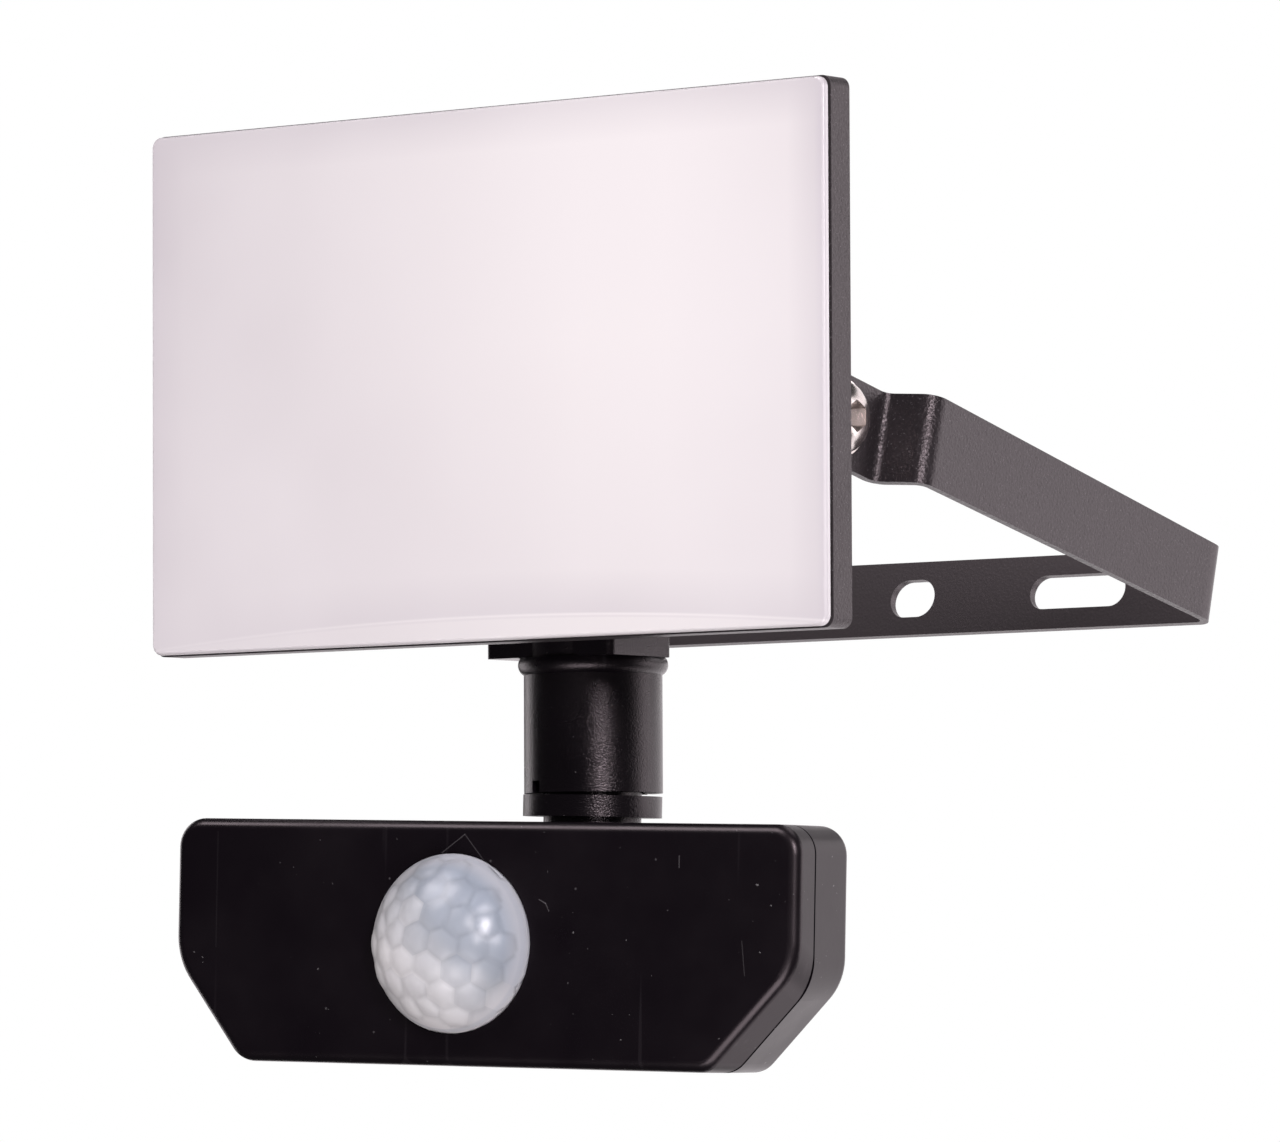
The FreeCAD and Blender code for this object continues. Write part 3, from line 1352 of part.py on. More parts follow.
def make_sensor_board(front):
    """Board across the sensor between the posts, cut back above the cut corners."""
    wide = d.postOut - d.postRadius - d.boardGap
    half_foot = d.sensorWidth / 2 - d.rightCut
    low = -d.podFloor + 2 * d.shellWall
    high = d.sensorHeight / 2 - 2 * d.shellWall
    knee = low + (wide - half_foot) * RIGHT_STEEP
    made = body("sensor_board")
    drawn = sketch(made, "board_outline", "XZ_Plane", -front)
    outline(drawn, [(-wide, high), (-wide, knee), (-half_foot, low), (half_foot, low),
                    (wide, knee), (wide, high)])
    grow(made, "board_plate", drawn, d.boardThick)
    piece(made, SENSOR)


def make_knobs():
    """Three slotted setting knobs sunk in the underside, on their trimmers."""
    floor = -d.podFloor
    low = floor + d.knobSink
    top = low + d.knobTall
    trimmer_low = top + d.lensWall
    y = -d.knobFore
    trimmers = []
    for step, name in ((-1, "knob_range"), (0, "knob_time"), (1, "knob_light")):
        x = step * d.knobPitch
        disc = rod(name + "_disc", "z", (x, y, low), d.knobRadius, d.knobTall)
        shaft = rod(name + "_shaft", "z", (x, y, top), d.knobShaft, d.knobShaftTall)
        span = d.knobRadius * d.knobSlotRatio
        slot = box(name + "_slot", (x - span, x + span),
                   (y - d.lensWall, y + d.lensWall), (low - 1, low + d.knobTall / 2))
        recess = rod(name + "_recess", "z", (x, y, low - d.overrun), span,
                     d.overrun + d.knobTall / 4)
        piece(cut(name, fuse(name + "_solid", disc, shaft), slot, recess), SENSOR)
        side = d.knobRadius
        block = box(name + "_trimmer_block", (x - side, x + side), (y - side, y + side),
                    (trimmer_low, trimmer_low + d.knobShaftTall))
        way = rod(name + "_trimmer_way", "z", (x, y, trimmer_low - d.overrun), d.knobShaft + d.shaftGap,
                  2 * d.knobShaftTall)
        trimmers.append(cut(name + "_trimmer", block, way))
    group("trimmers", SENSOR, trimmers)
    top_board = trimmer_low + d.knobShaftTall
    wide = d.podHalf - d.knobBoardInset
    piece(box("knob_board", (-wide, wide), (y - d.knobRadius, y + 2 * d.knobRadius),
              (top_board, top_board + d.boardThick), SENSOR))


def build():
    make_housing()
    make_diffuser()
    inner = (HALF_WIDE - d.rimWall - d.lipGap / 2, HALF_TALL - d.rimWall - d.lipGap / 2)
    outer = (HALF_WIDE - d.lampCorner / 2, HALF_TALL - d.lampCorner / 2)
    ring_plate("diffuser_seal", d.flangeBack, d.rimFront - d.flangeBack, outer, inner,
               d.lampCorner / 2)
    make_led_pieces()
    make_driver()
    make_rear_cover()
    drill_bracket(make_bracket())
    make_hinge_hardware()
    make_neck()
    make_swivel()
    make_front_cover()
    make_rear_shell()
    make_lens()
    make_sensor_inside()
    make_knobs()
    doc.recompute()


def check_and_write():
    faults = []
    for item in doc.Objects:
        if "Invalid" in item.State or "Error" in item.State:
            faults.append(item.Name + " " + str(item.State))
    for item in pieces:
        shape = item.Shape
        if shape.isNull() or not shape.isValid() or not shape.Solids:
            faults.append(item.Label + " has no valid shape")
    if faults:
        raise ValueError("; ".join(faults))
    os.makedirs("parts", exist_ok=True)
    for item in pieces:
        item.Shape.exportStep("parts/" + item.Label + ".step")
        print(item.Label, len(item.Shape.Solids), round(item.Shape.Volume, 1))


build()
check_and_write()
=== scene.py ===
import bpy
import bmesh
import math
import random
from mathutils import Matrix, Vector
from mathutils.kdtree import KDTree


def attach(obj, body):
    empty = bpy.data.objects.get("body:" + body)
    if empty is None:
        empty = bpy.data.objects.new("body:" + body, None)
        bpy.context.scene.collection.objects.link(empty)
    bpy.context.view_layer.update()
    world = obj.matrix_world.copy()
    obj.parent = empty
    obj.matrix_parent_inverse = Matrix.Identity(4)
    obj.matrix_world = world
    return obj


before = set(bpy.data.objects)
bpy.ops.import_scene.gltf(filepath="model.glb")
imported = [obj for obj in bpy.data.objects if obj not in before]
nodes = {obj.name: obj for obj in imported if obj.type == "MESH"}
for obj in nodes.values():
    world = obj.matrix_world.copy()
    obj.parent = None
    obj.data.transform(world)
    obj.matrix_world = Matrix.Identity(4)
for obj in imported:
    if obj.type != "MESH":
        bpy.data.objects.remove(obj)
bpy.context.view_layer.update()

scene = bpy.context.scene
scene.view_settings.view_transform = "Standard"
scene.view_settings.look = "None"

# Places of the lamp and the sensor in the object's frame, in metres and degrees
hang = {
    "reach": 0.0802,
    "hingeBack": 0.0204,
    "hingeDrop": 0.0069,
    "tilt": 14.1,
    "neckBack": 0.0244,
    "neckDrop": 0.0373,
    "pivotDrop": 0.014,
    "lean": 1.6,
    "pan": 9.5,
    "sensorDrop": 0.0389,
}


def turn(axis, degrees):
    return Matrix.Rotation(math.radians(degrees), 4, axis)


lampPlace = (
    Matrix.Translation((0, -hang["reach"], 0))
    @ turn("X", hang["tilt"])
    @ Matrix.Translation((0, -hang["hingeBack"], hang["hingeDrop"]))
)
neckPlace = lampPlace @ Matrix.Translation((0, hang["neckBack"], -hang["neckDrop"]))
sensorPlace = (
    neckPlace
    @ Matrix.Translation((0, 0, -hang["pivotDrop"]))
    @ turn("Y", hang["lean"])
    @ Matrix.Translation((0, 0, hang["pivotDrop"] - hang["sensorDrop"]))
    @ turn("Z", hang["pan"])
)
wallPlace = Matrix.Identity(4)

# Camera, as solved from the object's straight edges
cameraSet = {
    "place": (0.738689, -0.945691, -0.308003),
    "right": (0.782484, 0.604895, 0.147719),
    "up": (0.039789, -0.285323, 0.957605),
    "lens": 244.479,
}
cameraData = bpy.data.cameras.new("camera")
camera = bpy.data.objects.new("camera", cameraData)
scene.collection.objects.link(camera)
cameraData.lens = cameraSet["lens"]
cameraData.sensor_width = 36.0
cameraData.clip_start = 0.05
cameraData.clip_end = 20.0
cameraData.dof.use_dof = False
right = Vector(cameraSet["right"]).normalized()
up = Vector(cameraSet["up"])
up = (up - right * up.dot(right)).normalized()
back = right.cross(up)
camera.matrix_world = Matrix(
    (
        (right.x, up.x, back.x, cameraSet["place"][0]),
        (right.y, up.y, back.y, cameraSet["place"][1]),
        (right.z, up.z, back.z, cameraSet["place"][2]),
        (0, 0, 0, 1),
    )
)
scene.camera = camera
print("camera made")

# World: white to the camera, soft grey to the object
worldSet = {"seen": (1.0, 1.0, 1.0, 1.0), "glow": (0.9, 0.885, 0.89, 1.0), "strength": 0.06}
world = bpy.data.worlds.new("studio")
scene.world = world
world.use_nodes = True
worldNodes = world.node_tree.nodes
worldLinks = world.node_tree.links
worldNodes.clear()
output = worldNodes.new("ShaderNodeOutputWorld")
mixShader = worldNodes.new("ShaderNodeMixShader")
path = worldNodes.new("ShaderNodeLightPath")
seen = worldNodes.new("ShaderNodeBackground")
seen.inputs["Color"].default_value = worldSet["seen"]
glow = worldNodes.new("ShaderNodeBackground")
glow.inputs["Color"].default_value = worldSet["glow"]
glow.inputs["Strength"].default_value = worldSet["strength"]
worldLinks.new(path.outputs["Is Camera Ray"], mixShader.inputs["Fac"])
worldLinks.new(glow.outputs["Background"], mixShader.inputs[1])
worldLinks.new(seen.outputs["Background"], mixShader.inputs[2])
worldLinks.new(mixShader.outputs["Shader"], output.inputs["Surface"])

# Softboxes and the lit backdrop: place, what they point at, size and power
lights = {
    "frontHigh": ((-0.35, -1.15, 0.95), (0, -0.08, -0.02), (0.9, 0.7), 12.4),
    "frontRight": ((1.11, -0.96, 0.2), (0, -0.08, -0.05), (0.2, 0.45), 14.0),
    "lowFront": ((0.35, -0.75, -0.95), (0, -0.08, -0.08), (0.9, 0.6), 9.0),
    "rightSide": ((1.0, 0.82, 0.3), (0, -0.08, -0.03), (0.6, 1.1), 4.6),
    "floorBack": ((0.5, 0.85, -1.1), (0, -0.08, -0.1), (1.2, 0.9), 5.5),
    "backdrop": ((-0.2, 1.4, 0.15), (-0.2, 0, 0.15), (3.0, 2.4), 29.0),
    "leftBack": ((-1.4, 0.2, 0.1), (0, -0.08, -0.03), (0.6, 1.4), 5.0),
    "topBack": ((0.1, 0.1, 1.2), (0, -0.08, -0.03), (1.2, 0.7), 4.5),
}
lightTint = (1.0, 0.94, 0.965)
for name, (place, target, size, power) in lights.items():
    data = bpy.data.lights.new(name, "AREA")
    data.shape = "RECTANGLE"
    data.size, data.size_y = size
    data.energy = power
    data.color = lightTint
    lamp = bpy.data.objects.new(name, data)
    lamp.visible_camera = False
    scene.collection.objects.link(lamp)
    lamp.location = place
    lamp.rotation_mode = "QUATERNION"
    lamp.rotation_quaternion = (Vector(target) - Vector(place)).to_track_quat("-Z", "Y")
print("lights made")


# A material that is built up node by node
class Shader:

    def __init__(self, name):
        self.material = bpy.data.materials.new(name)
        self.material.use_nodes = True
        self.tree = self.material.node_tree
        self.base = self.tree.nodes["Principled BSDF"]
        self.coords = self.tree.nodes.new("ShaderNodeTexCoord").outputs["Object"]

    def node(self, kind, **values):
        made = self.tree.nodes.new(kind)
        for key, value in values.items():
            setattr(made, key, value)
        return made

    def link(self, source, target):
        self.tree.links.new(source, target)

    def feed(self, target, value):
        if isinstance(value, bpy.types.NodeSocket):
            self.link(value, target)
        else:
            target.default_value = value

    def math(self, operation, *values):
        made = self.node("ShaderNodeMath", operation=operation)
        for target, value in zip(made.inputs, values):
            self.feed(target, value)
        return made.outputs[0]

    # Coordinates in the frame of a place, such as the lamp's
    def local(self, place):
        inverse = place.inverted()
        made = self.node("ShaderNodeMapping")
        made.inputs["Location"].default_value = inverse.to_translation()
        made.inputs["Rotation"].default_value = inverse.to_euler()
        self.link(self.coords, made.inputs["Vector"])
        return made.outputs["Vector"]

    def split(self, vector):
        made = self.node("ShaderNodeSeparateXYZ")
        self.link(vector, made.inputs[0])
        return made.outputs

    def noise(self, scale, detail, rough=0.5, vector=None, stretch=None):
        made = self.node("ShaderNodeTexNoise")
        made.inputs["Scale"].default_value = scale
        made.inputs["Detail"].default_value = detail
        made.inputs["Roughness"].default_value = rough
        source = vector or self.coords
        if stretch:
            mapping = self.node("ShaderNodeMapping")
            mapping.inputs["Scale"].default_value = stretch
            self.link(source, mapping.inputs["Vector"])
            source = mapping.outputs["Vector"]
        self.link(source, made.inputs["Vector"])
        return made.outputs["Fac"]

    def spread(self, value, low, high, first, last):
        made = self.node("ShaderNodeMapRange")
        for target, number in zip(made.inputs, (value, low, high, first, last)):
            self.feed(target, number)
        return made.outputs["Result"]

    def mix(self, factor, first, last, blend="MIX"):
        made = self.node("ShaderNodeMix", data_type="RGBA", blend_type=blend)
        self.feed(made.inputs[0], factor)
        for target, tone in ((made.inputs[6], first), (made.inputs[7], last)):
            self.feed(target, tone if isinstance(tone, bpy.types.NodeSocket) else (*tone, 1))
        return made.outputs[2]

    # A tone made darker or lighter by one factor
    def shaded(self, tone, factor):
        shade = self.node("ShaderNodeCombineColor")
        for target in shade.inputs:
            self.link(factor, target)
        return self.mix(1.0, tone, shade.outputs[0], "MULTIPLY")

    def bump(self, height, strength, distance):
        made = self.node("ShaderNodeBump")
        self.feed(made.inputs["Strength"], strength)
        made.inputs["Distance"].default_value = distance
        self.link(height, made.inputs["Height"])
        return made.outputs["Normal"]

    # How strongly a fine mark from one point to another shows here
    def streak(self, x, z, mark):
        startX, startZ, endX, endZ, half = (size / 1000 for size in mark[:5])
        aside = self.math("SUBTRACT", x, startX)
        above = self.math("SUBTRACT", z, startZ)
        runX = endX - startX
        runZ = endZ - startZ
        square = runX * runX + runZ * runZ
        if square:
            rise = self.math("MULTIPLY", above, runZ / square)
            along = self.math("MULTIPLY_ADD", aside, runX / square, rise)
            along = self.math("MINIMUM", self.math("MAXIMUM", along, 0), 1)
            aside = self.math("MULTIPLY_ADD", along, -runX, aside)
            above = self.math("MULTIPLY_ADD", along, -runZ, above)
        return self.spread(self.length(aside, above), half * 0.4, half, mark[5], 0)

    def length(self, aside, above):
        square = self.math("MULTIPLY_ADD", aside, aside, self.math("MULTIPLY", above, above))
        return self.math("SQRT", square)

    def finish(self, colour, rough, normal, **others):
        self.feed(self.base.inputs["Base Color"], colour)
        self.feed(self.base.inputs["Roughness"], rough)
        self.link(normal, self.base.inputs["Normal"])
        for key, value in others.items():
            self.feed(self.base.inputs[key.replace("_", " ")], value)
        return self.material


# Reflections on the black coats and mouldings look slightly purple
blackTint = (1.0, 0.87, 0.92, 1.0)


# Fine-grained powder coat with pale specks painted on as glints where the grain catches light
coat = {
    "cells": 0.9,
    "cellHeight": 0.6,
    "speckGrain": 1.7,
    "speckFrom": 0.66,
    "speckTo": 0.78,
    "driftGrain": 38,
    "darkest": 0.92,
    "lightest": 1.08,
    "roughSwing": 0.08,
    "strapRelief": 0.3,
}


def powderCoat(name, look):
    s = Shader(name)
    grain = s.noise(look["grain"], 3, 0.6)
    cells = s.node("ShaderNodeTexVoronoi")
    cells.inputs["Scale"].default_value = look["grain"] * coat["cells"]
    s.link(s.coords, cells.inputs["Vector"])
    rounds = s.math("MULTIPLY", cells.outputs["Distance"], coat["cellHeight"])
    height = s.math("ADD", grain, rounds)
    # Pale specks mixed into the colour: painted glints
    fine = s.noise(look["grain"] * coat["speckGrain"], 1, 0.5)
    specks = s.spread(fine, coat["speckFrom"], coat["speckTo"], 0, look["specks"])
    drift = s.spread(s.noise(coat["driftGrain"], 2), 0.3, 0.7, coat["darkest"], coat["lightest"])
    tone = s.shaded(s.mix(specks, look["colour"], look["speckColour"]), drift)
    swing = coat["roughSwing"]
    rough = s.spread(grain, 0.2, 0.8, look["rough"] + swing, look["rough"] - swing)
    strength = look["strength"]
    # Near the wall the bracket is painted paler: a painted brightening where more light falls on
    # its front; its grain relief is flattened there too
    if "strap" in look:
        litStrapMask = s.spread(s.split(s.coords)[1], look["strapFrom"], look["strapTo"], 0, 1)
        tone = s.mix(litStrapMask, tone, look["strap"])
        strength = s.spread(litStrapMask, 0, 1, strength, strength * coat["strapRelief"])
    return s.finish(tone, rough, s.bump(height, strength, look["depth"]), Specular_Tint=blackTint)


# Satin moulding with a fine spark-eroded grain, faint scratches and dust
moulding = {
    "scratchFrom": 0.66,
    "scratchTo": 0.7,
    "scratchStretch": (1, 1, 0.03),
    "dustGrain": 1500,
    "dustFrom": 0.76,
    "dustTo": 0.8,
    "wearGrain": 60,
    "smoother": 0.05,
    "rougher": 0.07,
    "markFade": 0.0002,
}


def mouldedPlastic(name, look, place=wallPlace):
    s = Shader(name)
    local = s.local(place)
    grain = s.noise(look["grain"], 2, 0.55, local)
    scratch = s.noise(look["scratch"], 2, 0.5, local, moulding["scratchStretch"])
    lines = s.spread(scratch, moulding["scratchFrom"], moulding["scratchTo"], 0, look["scratches"])
    flecks = s.noise(moulding["dustGrain"], 1, 0.5, local)
    dust = s.spread(flecks, moulding["dustFrom"], moulding["dustTo"], 0, look["dust"])
    tone = s.mix(lines, look["colour"], look["worn"])
    tone = s.mix(dust, tone, look["dustColour"])
    x, y, z = s.split(local)
    for mark in look.get("marks", ()):
        fade = look["face"] + moulding["markFade"]
        ahead = s.spread(y, look["face"], fade, s.streak(x, z, mark), 0)
        tone = s.mix(ahead, tone, look["markColour"])
    wear = s.noise(moulding["wearGrain"], 3, 0.6, local)
    smooth = look["rough"] - moulding["smoother"]
    rough = s.spread(wear, 0.3, 0.7, smooth, look["rough"] + moulding["rougher"])
    relief = s.bump(grain, look["strength"], look["depth"])
    shine = look["shine"]
    # Along the parting line the gloss is taken away: painted shade, a thin dark line for the shade
    # in the gap between the two shells
    if "seam" in look:
        apart = s.math("ABSOLUTE", s.math("SUBTRACT", y, look["seam"]))
        shine = s.spread(apart, look["seamShadeFrom"], look["seamShadeTo"], 0, look["shine"])
    return s.finish(tone, rough, relief, Specular_IOR_Level=shine, Specular_Tint=blackTint)


# Opal cover, palest in the middle, with painted shade inside its edges and towards its left, right,
# top and bottom, a painted darker band over a painted light bowed line near its lowest edge, and a
# painted glow under that line
def opalPlastic(look):
    s = Shader("opalCover")
    wide, tall, band = look["halfWide"], look["halfTall"], look["band"]
    x, _, z = s.split(s.local(lampPlace))
    fromSide = s.math("SUBTRACT", wide, s.math("ABSOLUTE", x))
    fromTop = s.math("SUBTRACT", tall, z)
    fromFoot = s.math("ADD", tall, z)
    across = s.math("DIVIDE", x, wide)
    crown = look["bow"] + look["bowStart"]
    bow = s.math("MULTIPLY_ADD", s.math("MULTIPLY", across, across), -look["bow"], crown)
    pastBow = s.math("SUBTRACT", fromFoot, bow)
    # Each row: what is measured, between which two values, how strong the tone is there, the tone.
    # The rows before the last paint light and shade; the last is a random cloudiness
    layers = (
        (fromSide, 0, band, look["sideShade"], 0, look["side"]),
        (fromSide, look["lipFrom"], look["lip"], look["topShade"], 0, look["edge"]),
        (fromTop, 0, band, look["topShade"], 0, look["side"]),
        (pastBow, 0, band, look["footShade"], 0, look["side"]),
        (s.math("ABSOLUTE", pastBow), 0, look["line"], 1.0, 0, look["lineHighlight"]),
        (pastBow, look["glowFrom"], look["glowTo"], 0, look["footGlow"], look["glowTone"]),
        (x, -wide, wide * look["leftReach"], look["leftShade"], 0, look["side"]),
        (x, wide * look["rightFrom"], wide, 0, look["rightShade"], look["side"]),
        (z, -tall, tall * look["lowReach"], look["lowShade"], 0, look["side"]),
        (s.noise(look["cloudGrain"], 2, 0.5), 0.35, 0.7, 0, look["cloud"], look["cloudColour"]),
    )
    tone = look["centre"]
    for measure, low, high, first, last, shade in layers:
        tone = s.mix(s.spread(measure, low, high, first, last), tone, shade)
    ripple = s.bump(s.noise(look["rippleGrain"], 1, 0.4), 0.04, 0.0001)
    return s.finish(tone, look["rough"], ripple, Coat_Weight=look["gloss"], Coat_Roughness=0.1)


# Plain metal, plastic or rubber that drifts between two near tones
def plainStuff(name, look, place=wallPlace):
    s = Shader(name)
    local = s.local(place)
    blot = s.spread(s.noise(look["blot"], 3, 0.6, local), 0.3, 0.7, 0, 1)
    tone = s.mix(blot, look["colour"], look["other"])
    relief = s.bump(s.noise(look.get("grain", 900), 2, 0.5, local), 0.15, 0.0001)
    return s.finish(tone, look["rough"], relief, Metallic=look.get("metal", 0.0))


# Fibres, flecks and scratches on the sensor's front, in millimetres from its middle: both ends,
# half width and strength. Where both ends are the same it is a speck
faceMarks = (
    (-6, 12, -2.5, 14.5, 0.09, 0.1),
    (-2.5, 14.5, 0.5, 11, 0.09, 0.08),
    (1.5, 11, 1.5, 11, 0.22, 0.13),
    (-14, 8.5, -14, 8.5, 0.2, 0.11),
    (-16, -12, -16, -12, 0.2, 0.1),
    (-23.5, -9, -23.5, -9, 0.22, 0.11),
    (9, 6, 10, 5.5, 0.11, 0.13),
    (10, 5.5, 10.5, 4.5, 0.11, 0.11),
    (14.5, 7.5, 14.5, 7.5, 0.22, 0.11),
    (26.5, 11.5, 26.5, 11.5, 0.2, 0.11),
    (30, 12, 30, 10.5, 0.11, 0.11),
    (39.5, 1, 40, -3.5, 0.09, 0.06),
    (-41, 14.5, -41, -1, 0.1, 0.015),
)
looks = {
    "cast": {"colour": (0.035, 0.031, 0.033), "speckColour": (0.3, 0.28, 0.3), "specks": 0.6,
             "grain": 2600, "rough": 0.42, "strength": 0.55, "depth": 0.00012},
    "strip": {"strap": (0.05, 0.044, 0.047), "strapFrom": -0.004, "strapTo": -0.002,
              "colour": (0.02, 0.017, 0.019), "speckColour": (0.25, 0.23, 0.25), "specks": 0.45,
              "grain": 2400, "rough": 0.34, "strength": 0.6, "depth": 0.00012},
    "sensorBlack": {"marks": faceMarks, "markColour": (0.42, 0.4, 0.42), "face": -0.0294,
                    "seam": -0.0252, "seamShadeFrom": 0.00012, "seamShadeTo": 0.00028,
                    "colour": (0.0022, 0.0012, 0.0026), "worn": (0.03, 0.026, 0.03),
                    "grain": 1500, "scratch": 500, "scratches": 0.2,
                    "dust": 0.3, "dustColour": (0.35, 0.34, 0.35), "rough": 0.31,
                    "strength": 0.12, "depth": 0.00004, "shine": 0.45},
    "neckBlack": {"colour": (0.004, 0.003, 0.0045), "worn": (0.05, 0.045, 0.05), "grain": 4000,
                  "scratch": 500, "scratches": 0.2, "dust": 0.3, "dustColour": (0.35, 0.34, 0.35),
                  "rough": 0.27, "strength": 0.6, "depth": 0.00009, "shine": 0.42},
    "opal": {"halfWide": 0.0584, "halfTall": 0.0358, "band": 0.006, "lipFrom": 0.0006,
             "lip": 0.0016, "bow": 0.0026, "bowStart": 0.0006, "line": 0.0003,
             "centre": (0.87, 0.846, 0.846), "side": (0.64, 0.61, 0.64),
             "edge": (0.64, 0.61, 0.66), "lineHighlight": (0.98, 0.96, 0.95),
             "glowTone": (0.95, 0.93, 0.91), "sideShade": 0.85, "topShade": 0.75, "footShade": 0.6,
             "footGlow": 0.8, "glowFrom": -0.0001, "glowTo": -0.0005, "leftShade": 0.8,
             "leftReach": 0.3, "rightShade": 0.4, "rightFrom": 0.55, "lowShade": 0.35,
             "lowReach": 0.1, "cloud": 0.35, "cloudColour": (0.87, 0.85, 0.86),
             "cloudGrain": 26, "rippleGrain": 160, "gloss": 0.35, "rough": 0.25},
    "steel": {"colour": (0.58, 0.53, 0.51), "other": (0.7, 0.65, 0.63), "blot": 700,
              "rough": 0.22, "metal": 1.0},
    "rubber": {"colour": (0.012, 0.012, 0.012), "other": (0.03, 0.03, 0.03), "blot": 500,
               "rough": 0.75},
    "gland": {"colour": (0.02, 0.02, 0.022), "other": (0.04, 0.04, 0.042), "blot": 400,
              "rough": 0.5},
    "knob": {"colour": (0.6, 0.6, 0.56), "other": (0.7, 0.7, 0.66), "blot": 400, "rough": 0.4},
    "board": {"colour": (0.02, 0.16, 0.06), "other": (0.03, 0.22, 0.08), "blot": 300, "rough": 0.4},
}
cast = powderCoat("castCoat", looks["cast"])
strip = powderCoat("stripCoat", looks["strip"])
sensorBlack = mouldedPlastic("sensorPlastic", looks["sensorBlack"], sensorPlace)
neckBlack = mouldedPlastic("neckPlastic", looks["neckBlack"], neckPlace)
opal = opalPlastic(looks["opal"])
steel = plainStuff("brightSteel", looks["steel"])
rubber = plainStuff("sealRubber", looks["rubber"])
glandPlastic = plainStuff("glandPlastic", looks["gland"], lampPlace)
knobPlastic = plainStuff("knobPlastic", looks["knob"], sensorPlace)
boardGreen = plainStuff("boardGreen", looks["board"])

# Which pieces each finish is on
finishes = {
    cast: ["housing", "rear_cover"],
    strip: ["bracket"],
    sensorBlack: ["sensor_front_cover", "sensor_rear_shell", "lens_retainer"],
    neckBlack: ["neck_sleeve", "swivel_stud"],
    opal: ["diffuser"],
    steel: ["hinge_screws", "hinge_washers", "rear_cover_screws", "sensor_case_screws",
            "led_board_screws", "neck_screws", "pyro_detector"],
    rubber: ["diffuser_seal", "rear_cover_seal", "gland_seal", "swivel_seal", "led_leads",
             "light_cell"],
    glandPlastic: ["cable_gland", "gland_locknut", "gland_dome_nut", "swivel_nut",
                   "driver_capacitor", "driver_bridge", "driver_transformer",
                   "driver_terminals", "sensor_relay", "sensor_capacitor", "trimmers"],
    knobPlastic: ["knob_range", "knob_time", "knob_light", "led_chips", "led_board"],
    boardGreen: ["driver_board", "sensor_board", "knob_board"],
}
edgeSet = {"segments": 2, "angle": 32}
# How wide each piece's softened edges are, in metres
softEdges = {
    "housing": 0.0003,
    "bracket": 0.00022,
    "diffuser": 0.00025,
    "sensor_front_cover": 0.00018,
    "sensor_rear_shell": 0.00018,
    "neck_sleeve": 0.0002,
    "swivel_stud": 0.0002,
    "rear_cover": 0.0003,
    "cable_gland": 0.0002,
    "gland_dome_nut": 0.0002,
}
for material, names in finishes.items():
    for name in names:
        node = nodes[name]
        node.data.materials.clear()
        node.data.materials.append(material)
for name, width in softEdges.items():
    edge = nodes[name].modifiers.new("softEdge", "BEVEL")
    edge.width = width
    edge.segments = edgeSet["segments"]
    edge.limit_method = "ANGLE"
    edge.angle_limit = math.radians(edgeSet["angle"])
print("finishes set")


# Lens: the dome's facets lie on it as a thin skin, with a clear even gloss over them
lens = {
    "shift": -0.0043,
    "face": -0.03,
    "proud": 0.0003,
    "radius": 0.0119,
    "rise": 0.0074,
    "groove": 0.972,  # share of the radius
    "facetsTo": 53,  # degrees from straight ahead
    "under": 0.12,  # radians past the rim
    "pitch": 0.28,  # share of the ball's radius
    "stray": 0.00045,
    "seed": 5,
    "bulge": 0.00026,
    "skin": 0.00002,
    "thick": 0.00015,
    "turned": (14, 9, 20),
    "cuts": 3,
    "tintStep": 37,  # the tint jumps about from cell to cell, from 0 to 10 parts of 14
    "tintKinds": 11,
    "tintParts": 14,
    # Tones of the painted light and shade across the lens, and of its painted pale rim band
    "litWarm": (0.81, 0.8, 0.81),
    "middle": (0.34, 0.37, 0.415),
    "shadedCool": (0.34, 0.385, 0.46),
    "rim": (0.72, 0.7, 0.72),
    "slope": 0.9,
    "tintSwing": 0.4,
    "litWarmTo": (-0.95, 0.35),
    "shadedCoolFrom": (0.15, 0.85),
    "rimFrom": 0.84,
    "rimTo": 0.97,
    "rimShade": 0.45,
    "grooveFrom": 0.0001,
    "grooveTo": 0.0003,
    "grooveShade": 0.3,
    "creaseShade": 0.84,
    "creaseWidth": 0.25,
    "ripple": 420,
    "rough": 0.4,
    "gloss": 0.4,
    "glossRough": 0.2,
    "milk": 0.15,
    "milkDepth": 0.0008,
    "milkTint": (0.95, 0.9, 1.0),
}
ballRadius = (lens["radius"] ** 2 + lens["rise"] ** 2) / (2 * lens["rise"])
foremost = lens["face"] - lens["proud"] - lens["rise"]
ballCentre = Vector((lens["shift"], foremost + ballRadius, 0))


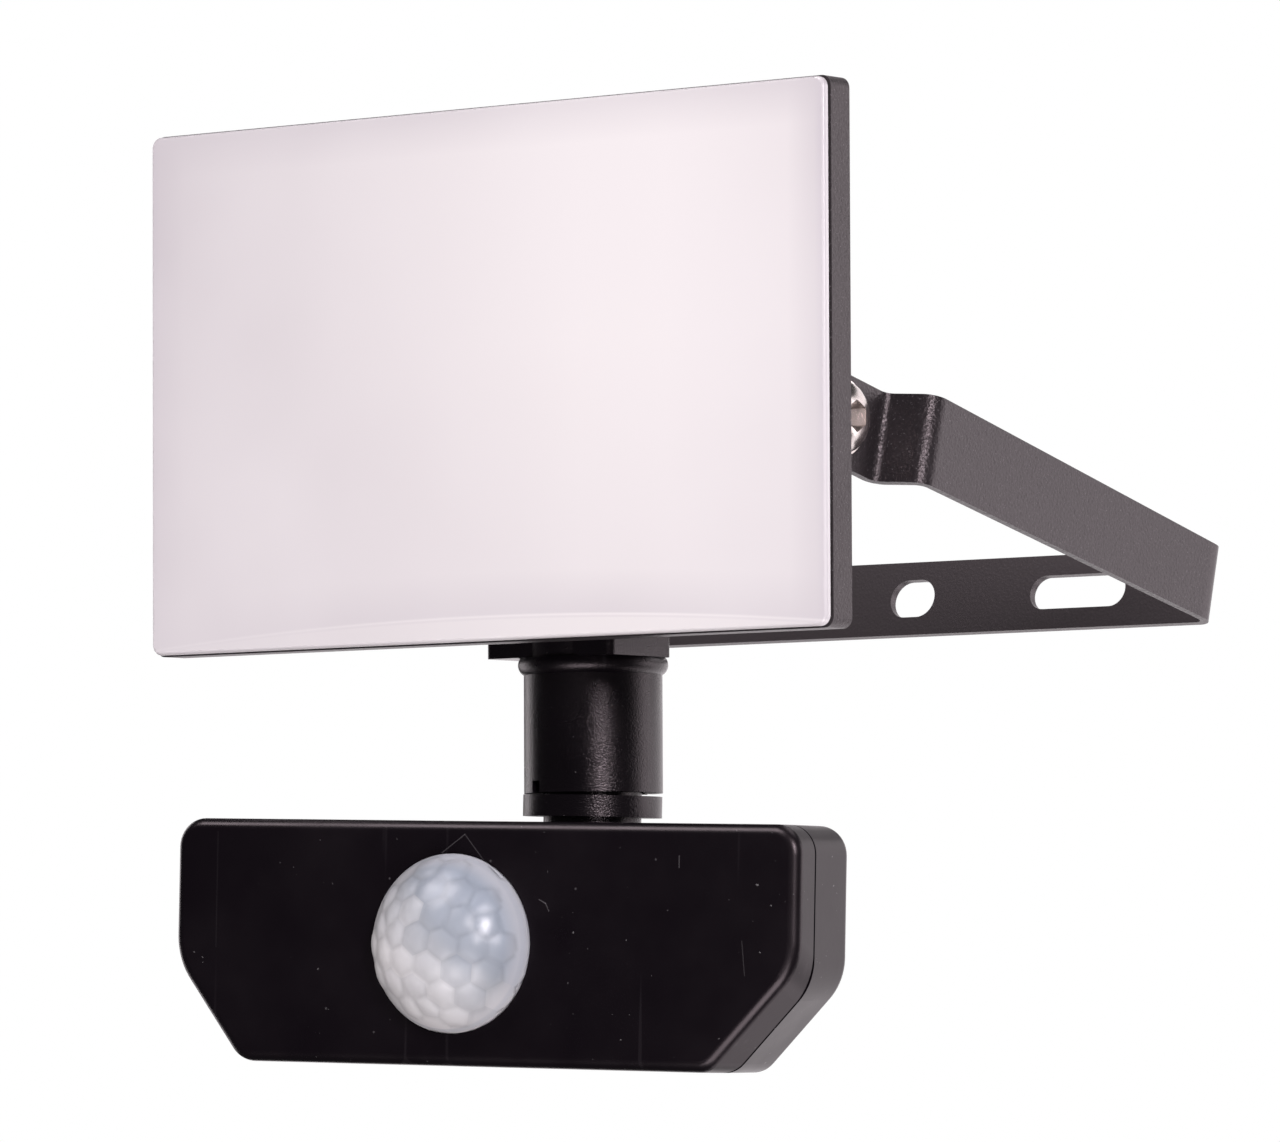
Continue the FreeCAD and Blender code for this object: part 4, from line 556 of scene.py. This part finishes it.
def lensPlastic():
    s = Shader("lensPlastic")
    local = s.local(sensorPlace)
    offset = s.node("ShaderNodeVectorMath", operation="SUBTRACT")
    s.link(local, offset.inputs[0])
    offset.inputs[1].default_value = ballCentre
    spoke = s.node("ShaderNodeVectorMath", operation="SUBTRACT")
    s.link(s.coords, spoke.inputs[0])
    spoke.inputs[1].default_value = sensorPlace @ ballCentre
    outward = s.node("ShaderNodeVectorTransform", vector_type="NORMAL")
    outward.convert_from = "OBJECT"
    outward.convert_to = "WORLD"
    s.link(spoke.outputs[0], outward.inputs[0])
    across, _, up = s.split(offset.outputs[0])
    ring = s.length(across, up)
    tint = s.node("ShaderNodeAttribute", attribute_name="facetTint").outputs["Fac"]
    creaseShade = s.node("ShaderNodeAttribute", attribute_name="facetCreaseShade").outputs["Fac"]
    radius = lens["radius"]
    # Painted light and shade: the lens is painted lighter towards its lower left and darker towards
    # its upper right, and a random step per cell shifts this
    slant = s.math("SUBTRACT", across, s.math("MULTIPLY", up, -lens["slope"]))
    swing = s.math("MULTIPLY_ADD", tint, lens["tintSwing"], -lens["tintSwing"] / 2)
    lit = s.math("ADD", s.math("DIVIDE", slant, radius), swing)
    tone = s.mix(s.spread(lit, *lens["litWarmTo"], 0, 1), lens["litWarm"], lens["middle"])
    tone = s.mix(s.spread(lit, *lens["shadedCoolFrom"], 0, 1), tone, lens["shadedCool"])
    # Painted light: a pale band painted near the rim of the dome
    rim = s.spread(ring, radius * lens["rimFrom"], radius * lens["rimTo"], 0, lens["rimShade"])
    tone = s.mix(rim, tone, lens["rim"])
    # Painted shade: a thin darker ring painted just inside the rim
    apart = s.math("ABSOLUTE", s.math("SUBTRACT", ring, radius * lens["groove"]))
    groove = s.spread(apart, lens["grooveFrom"], lens["grooveTo"], lens["grooveShade"], 0)
    tone = s.mix(groove, tone, lens["shadedCool"])
    # Painted shade where the bulging cells meet, darker towards their borders
    tone = s.shaded(tone, s.spread(creaseShade, 0, 1, 1, lens["creaseShade"]))
    ripple = s.bump(s.noise(lens["ripple"], 2, 0.5, local), 0.12, 0.0001)
    s.link(outward.outputs[0], s.base.inputs["Coat Normal"])
    return s.finish(tone, lens["rough"], ripple, Coat_Weight=lens["gloss"],
                    Coat_Roughness=lens["glossRough"], Subsurface_Weight=lens["milk"],
                    Subsurface_Scale=lens["milkDepth"], Subsurface_Radius=lens["milkTint"])


# Each point of a ball becomes a cell, whose fan of faces bulges over the dome
def lensFacets(material):
    bm = bmesh.new()
    bmesh.ops.create_icosphere(bm, subdivisions=3, radius=ballRadius)
    spins = [turn(axis, degrees) for axis, degrees in zip("XYZ", lens["turned"])]
    tilted = spins[0] @ spins[1] @ spins[2]
    bmesh.ops.transform(bm, matrix=tilted, verts=bm.verts)
    middles = [vert.co.copy() for vert in bm.verts]
    stray = random.Random(lens["seed"])
    sides = bm.edges[:]
    bmesh.ops.poke(bm, faces=bm.faces[:])
    bmesh.ops.rotate_edges(bm, edges=sides)
    near = KDTree(len(middles))
    for index, middle in enumerate(middles):
        nudge = Vector([stray.uniform(-1, 1) for _ in range(3)]) * lens["stray"]
        middles[index] = (middle + nudge).normalized() * ballRadius
        near.insert(middles[index], index)
    near.balance()
    front = Vector((0, -1, 0))
    reach = math.radians(lens["facetsTo"])
    rim = math.asin(lens["radius"] / ballRadius)
    tints = bm.faces.layers.float.new("facetTint")
    creaseShades = bm.verts.layers.float.new("facetCreaseShade")
    outside = []
    for face in bm.faces:
        index = near.find(face.calc_center_median())[1]
        face[tints] = (index * lens["tintStep"] % lens["tintKinds"]) / lens["tintParts"]
        if middles[index].angle(front) > rim + lens["under"]:
            outside.append(face)
    bmesh.ops.delete(bm, geom=outside, context="FACES")
    bmesh.ops.subdivide_edges(bm, edges=bm.edges[:], cuts=lens["cuts"], use_grid_fill=True)
    pitch = ballRadius * lens["pitch"]
    wall = lens["radius"] + lens["skin"]
    for vert in bm.verts:
        way = vert.co.normalized()
        first, second = near.find_n(way * ballRadius, 2)
        inside = min((second[2] - first[2]) / pitch, 1)
        faceted = middles[first[1]].angle(front) < reach
        edged = faceted or middles[second[1]].angle(front) < reach
        # How near each point is to its cell's border, for the painted shade between cells
        vert[creaseShades] = max(0.0, 1 - inside / lens["creaseWidth"]) if edged else 0.0
        domed = lens["bulge"] * (1 - (1 - inside) ** 2) if faceted else 0
        vert.co = way * (ballRadius + lens["skin"] + domed)
        flat = math.hypot(vert.co.x, vert.co.z)
        if way.angle(front) > rim:
            vert.co.x *= wall / flat
            vert.co.z *= wall / flat
    for face in bm.faces:
        face.smooth = True
    bmesh.ops.solidify(bm, geom=bm.faces[:], thickness=lens["thick"])
    bmesh.ops.recalc_face_normals(bm, faces=bm.faces)
    bmesh.ops.transform(bm, matrix=sensorPlace @ Matrix.Translation(ballCentre), verts=bm.verts)
    mesh = bpy.data.meshes.new("lens_facets")
    bm.to_mesh(mesh)
    bm.free()
    mesh.materials.append(material)
    made = bpy.data.objects.new("lens_facets", mesh)
    scene.collection.objects.link(made)
    return made


lensMilky = lensPlastic()
nodes["pir_lens"].data.materials.clear()
nodes["pir_lens"].data.materials.append(lensMilky)
lensSkin = lensFacets(lensMilky)
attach(lensSkin, "sensor")
print("lens made")
